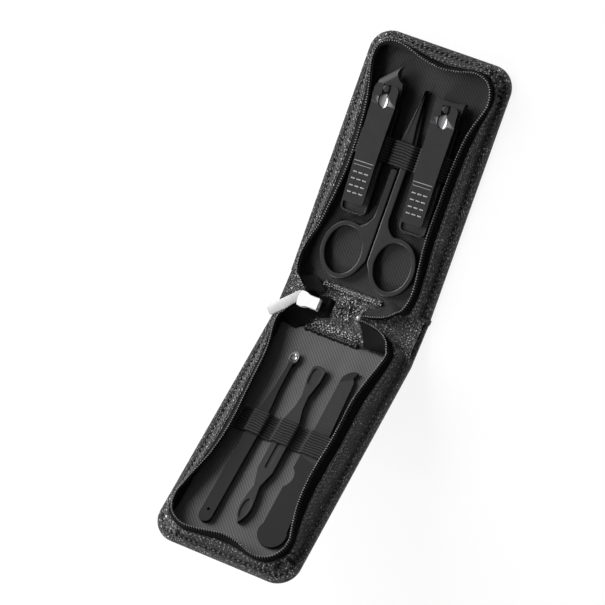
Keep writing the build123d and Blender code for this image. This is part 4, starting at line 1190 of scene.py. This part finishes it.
# the lever's top falls away from its crest towards the tail; bars: x, y, length and breadth of each mark
gripLook = dict(bar=(1.0, 0.42, 0.14), round=0.05, crest=8.37, crestY=25.0, fall=0.7, fallReach=21.8,
                bars=[(x, y, 1.8, 1.3) for y in (16.3, 13.4, 10.4, 7.5) for x in (-2.6, 0, 2.6)]
                + [(0, 21.0, 8.8, 0.8), (0, 19.4, 8.2, 0.6)])


def makeGripHighlights(kind):
    # bright steel bars on the tops of the lever's grip ribs, a painted highlight of the ribs
    look = gripLook
    bar = cubeFrom(look["bar"])
    enterEdit(bar)
    bpy.ops.mesh.bevel(offset=look["round"], segments=1, affect="EDGES")
    leaveEdit()
    places = []
    for x, y, length, breadth in look["bars"]:
        top = look["crest"] - look["fall"] * ((y - look["crestY"]) / look["fallReach"]) ** 2
        ahead = (x, y + 1, top + 0.002 * (look["crestY"] - y))
        origin, ahead, along = onClipper(kind, [(x, y, top), ahead, (x + 1, y, top)])
        matrix = np.eye(4)
        matrix[:3, 0] = (along - origin) * length
        matrix[:3, 1] = (ahead - origin) * breadth
        matrix[:3, 2] = np.cross(along - origin, ahead - origin) * 1000
        matrix[:3, 3] = origin
        places.append(matrix)
    piece = manyCopies(kind + "_clipper_grip_highlights", bar, places)
    finishPiece(piece, gripHighlightSteel, body=kind + "_clipper_handle")


for kind in ("square", "side"):
    makeKeyholeTrough(kind)
    makeGripHighlights(kind)

# start: x and y on the spine of the end at the bail; high: level of that end and of the free one
tabLook = dict(start=(-22.3, 7.2), turn=44.0, length=17.2, half=2.3, thick=0.75, high=(5.3, 4.1),
               corner=1.15, cornerSteps=5, edge=0.16)


def makePullTab():
    # plain rounded plate hanging from the slider's bail
    tab = tabLook
    plate = cubeFrom((tab["length"], tab["half"] * 2, tab["thick"]), (tab["length"] / 2, 0, 0))
    plate.name = plate.data.name = "pull_tab_plate"
    enterEdit(plate, "DESELECT")
    leaveEdit()
    for edge in plate.data.edges:
        a, b = (plate.data.vertices[i].co for i in edge.vertices)
        edge.select = abs(a.z - b.z) > 0.1
    bpy.ops.object.mode_set(mode="EDIT")
    bpy.ops.mesh.select_mode(type="EDGE")
    bpy.ops.mesh.bevel(offset=tab["corner"], segments=tab["cornerSteps"], affect="EDGES")
    leaveEdit()
    turn = math.radians(tab["turn"])
    run, side, rise = np.array([tuple(v.co) for v in plate.data.vertices]).T
    x = tab["start"][0] - run * math.cos(turn) + side * math.sin(turn)
    y = tab["start"][1] + run * math.sin(turn) + side * math.cos(turn)
    z = tab["high"][0] + (tab["high"][1] - tab["high"][0]) / tab["length"] * run + rise
    movePoints(plate, onSpine(np.stack([x, y, z], axis=1)))
    enterEdit(plate)
    bpy.ops.mesh.normals_make_consistent(inside=False)
    leaveEdit()
    applyModifier(plate, "BEVEL", width=tab["edge"] / 1000, segments=2, limit_method="ANGLE",
                  angle_limit=math.radians(60))
    shadeSmooth(plate, 40)
    finishPiece(plate, tabNickel, body="pull_tab", replaced=["zip_pull_tab"])


# half and thick: of the folded tail and of the clip, which begins at clipFrom of the way
clipLook = dict(start=(4.95, 4.4, 3.75), end=(4.05, 9.0, 4.15), clipFrom=0.62, steep=26,
                half=(0.28, 0.85), thick=(0.4, 0.95), lift=0.25, cuts=7)


def makeStopClip():
    # small crimped clip over the ends of both coils, with a folded tail of tape beyond it
    clip = clipLook
    piece = cubeFrom((1, 1, 1))
    piece.name = piece.data.name = "zip_stop_clip"
    enterEdit(piece)
    bpy.ops.mesh.subdivide(number_cuts=clip["cuts"])
    leaveEdit()
    spots = np.array([tuple(v.co) for v in piece.data.vertices])
    run = spots[:, 1] + 0.5
    swell = 1 / (1 + np.exp(-(run - clip["clipFrom"]) * clip["steep"]))
    swell = swell * np.sqrt(np.clip(1.04 - run, 0, 1) * 6).clip(0, 1)
    half, thick = (low + (high - low) * swell for low, high in (clip["half"], clip["thick"]))
    start, end = np.array(clip["start"]), np.array(clip["end"])
    ahead = (end - start) / np.linalg.norm(end - start)
    side = np.array([ahead[1], -ahead[0], 0])
    rounding = 1 - 0.5 * (np.abs(spots[:, 0]) * 2) ** 3
    placed = start + run[:, None] * (end - start) + spots[:, 0:1] * 2 * half[:, None] * side
    placed[:, 2] += spots[:, 2] * thick * rounding + clip["lift"] * swell
    movePoints(piece, onSpine(placed))
    enterEdit(piece)
    bpy.ops.mesh.normals_make_consistent(inside=False)
    leaveEdit()
    shadeSmooth(piece, 60)
    finishPiece(piece, [stopSteel, threadBlack], body="spine", replaced=["zip_stop"])
    near = onSpine([start + (end - start) * (clip["clipFrom"] - 0.05)])[0]
    for face in piece.data.polygons:
        if (np.array(face.center) - near) @ spineOut < 0:
            face.material_index = 1


makePullTab()
makeStopClip()
print("clipper details, pull tab and stop made")

toolFinish = dict(side_clipper_upper_jaw=toolMatte, zip_slider_body=nickel, ear_pick=pickBlack,
                  cuticle_pusher=toolSatin, nail_file=fileBlack, square_clipper_rear_rivet=chrome,
                  side_clipper_rear_rivet=chrome)
# metres: the usual width of an edge and that of the pieces with rounder edges
toolEdge = dict(width=0.00011, angle=32, weld=0.000004, flat=0.2,
                rounded=dict(scissor_left_blade=0.0006, scissor_right_blade=0.0006, ear_pick=0.0003,
                             cuticle_pusher=0.0002, zip_slider_body=0.0004, square_clipper_lever=0.0006,
                             side_clipper_lever=0.0006))
for name, piece in nodes.items():
    if piece.hide_render:
        continue
    piece.data.materials.clear()
    piece.data.materials.append(toolFinish.get(name, toolBlack))
    piece.modifiers.new("weld", "WELD").merge_threshold = toolEdge["weld"]
    flatten = piece.modifiers.new("flatten", "DECIMATE")
    flatten.decimate_type = "DISSOLVE"
    flatten.angle_limit = math.radians(toolEdge["flat"])
    edge = piece.modifiers.new("edge", "BEVEL")
    edge.width = toolEdge["rounded"].get(name, toolEdge["width"])
    edge.segments = 2
    edge.limit_method = "ANGLE"
    edge.angle_limit = math.radians(toolEdge["angle"])
    edge.use_clamp_overlap = not name.endswith("_blade")
    piece.modifiers.new("normals", "WEIGHTED_NORMAL").weight = 80
    smoothFaces(piece)
print("tools finished")

cameraLook = dict(lens=196.33, sensor=36, near=0.1, far=10, place=(0.4493, 0.04184, 1.32256),
                  right=(0.8794368, 0.33143811, -0.34167191), down=(0.33737841, -0.94034967, -0.04379853),
                  ahead=(-0.33580757, -0.07675469, -0.93879817))


def addCamera():
    camera = bpy.data.objects.new("camera", bpy.data.cameras.new("camera"))
    bpy.context.scene.collection.objects.link(camera)
    camera.data.lens = cameraLook["lens"]
    camera.data.sensor_width = cameraLook["sensor"]
    camera.data.clip_start = cameraLook["near"]
    camera.data.clip_end = cameraLook["far"]
    right, down, ahead = (Vector(cameraLook[way]) for way in ("right", "down", "ahead"))
    turn = Matrix((right, -down, -ahead)).transposed().to_4x4()
    camera.matrix_world = Matrix.Translation(cameraLook["place"]) @ turn
    bpy.context.scene.camera = camera


# sideSpan: how far towards the bright side the world is at its dimmest and its brightest
studio = dict(world=0.13, dimSide=0.12, brightSide=(-0.74, 0.36, 0.56), sideSpan=(-0.7, 0.8),
              paper=0.9, glow=0.9, floorSize=6, floorLevel=-0.0001,
              lamps=dict(key=dict(spot=(-0.83, 0.15, 0.45), size=0.7, power=20.0),
                         front=dict(spot=(-0.37, -0.81, 0.63), size=0.25, power=8.0, diffuse=0.1),
                         fill=dict(spot=(0.5, -0.5, 0.8), size=0.9, power=0.2)))


def addLamp(name, spot, size, power, diffuse=1.0):
    # a square soft lamp that faces the middle of the case
    lamp = bpy.data.objects.new(name, bpy.data.lights.new(name, "AREA"))
    bpy.context.scene.collection.objects.link(lamp)
    lamp.data.size = size
    lamp.data.energy = power
    lamp.data.diffuse_factor = diffuse
    lamp.location = spot
    lamp.rotation_mode = "QUATERNION"
    lamp.rotation_quaternion = (-Vector(spot)).to_track_quat("-Z", "Y")


def addStudio():
    scene = bpy.context.scene
    scene.view_settings.view_transform = "Standard"
    scene.world = scene.world or bpy.data.worlds.new("studio")
    scene.world.use_nodes = True
    tree = scene.world.node_tree
    light = tree.nodes["Background"]
    light.inputs["Color"].default_value = (1, 1, 1, 1)
    # white where it is looked at or mirrored, brighter towards the window side
    way = addNode(tree, "TexCoord").outputs["Generated"]
    facing = addNode(tree, "VectorMath", {0: way, 1: studio["brightSide"]}, operation="DOT_PRODUCT")
    side = between(tree, facing.outputs["Value"], studio["dimSide"], 1.0, *studio["sideSpan"],
                   interpolation_type="SMOOTHSTEP")
    path = addNode(tree, "LightPath")
    mirrored = calc(tree, "MAXIMUM", path.outputs["Is Glossy Ray"], path.outputs["Is Transmission Ray"])
    level = calc(tree, "MULTIPLY_ADD", mirrored, 1 - studio["world"], studio["world"])
    strength = calc(tree, "MAXIMUM", path.outputs["Is Camera Ray"], calc(tree, "MULTIPLY", side, level))
    tree.links.new(strength, light.inputs["Strength"])
    for name, lamp in studio["lamps"].items():
        addLamp(name, **lamp)


def addFloor():
    deselectAll()
    bpy.ops.mesh.primitive_plane_add(size=studio["floorSize"], location=(0, 0, studio["floorLevel"]))
    floor = bpy.context.object
    floor.name = "floor"
    material, tree, shader = newMaterial("floor_paper", rough=0.9)
    shader.inputs["Base Color"].default_value = (studio["paper"],) * 3 + (1,)
    glow = addNode(tree, "Emission", {"Color": (1, 1, 1, 1), "Strength": 1.0})
    path = addNode(tree, "LightPath")
    seen = calc(tree, "MAXIMUM", path.outputs["Is Camera Ray"], path.outputs["Is Glossy Ray"])
    seen = calc(tree, "MAXIMUM", seen, path.outputs["Is Transmission Ray"])
    share = calc(tree, "MULTIPLY", seen, studio["glow"])
    mix = addNode(tree, "MixShader", {0: share, 1: shader.outputs[0], 2: glow.outputs[0]})
    tree.links.new(mix.outputs[0], tree.nodes["Material Output"].inputs["Surface"])
    floor.data.materials.append(material)


addCamera()
addStudio()
addFloor()
print("done")
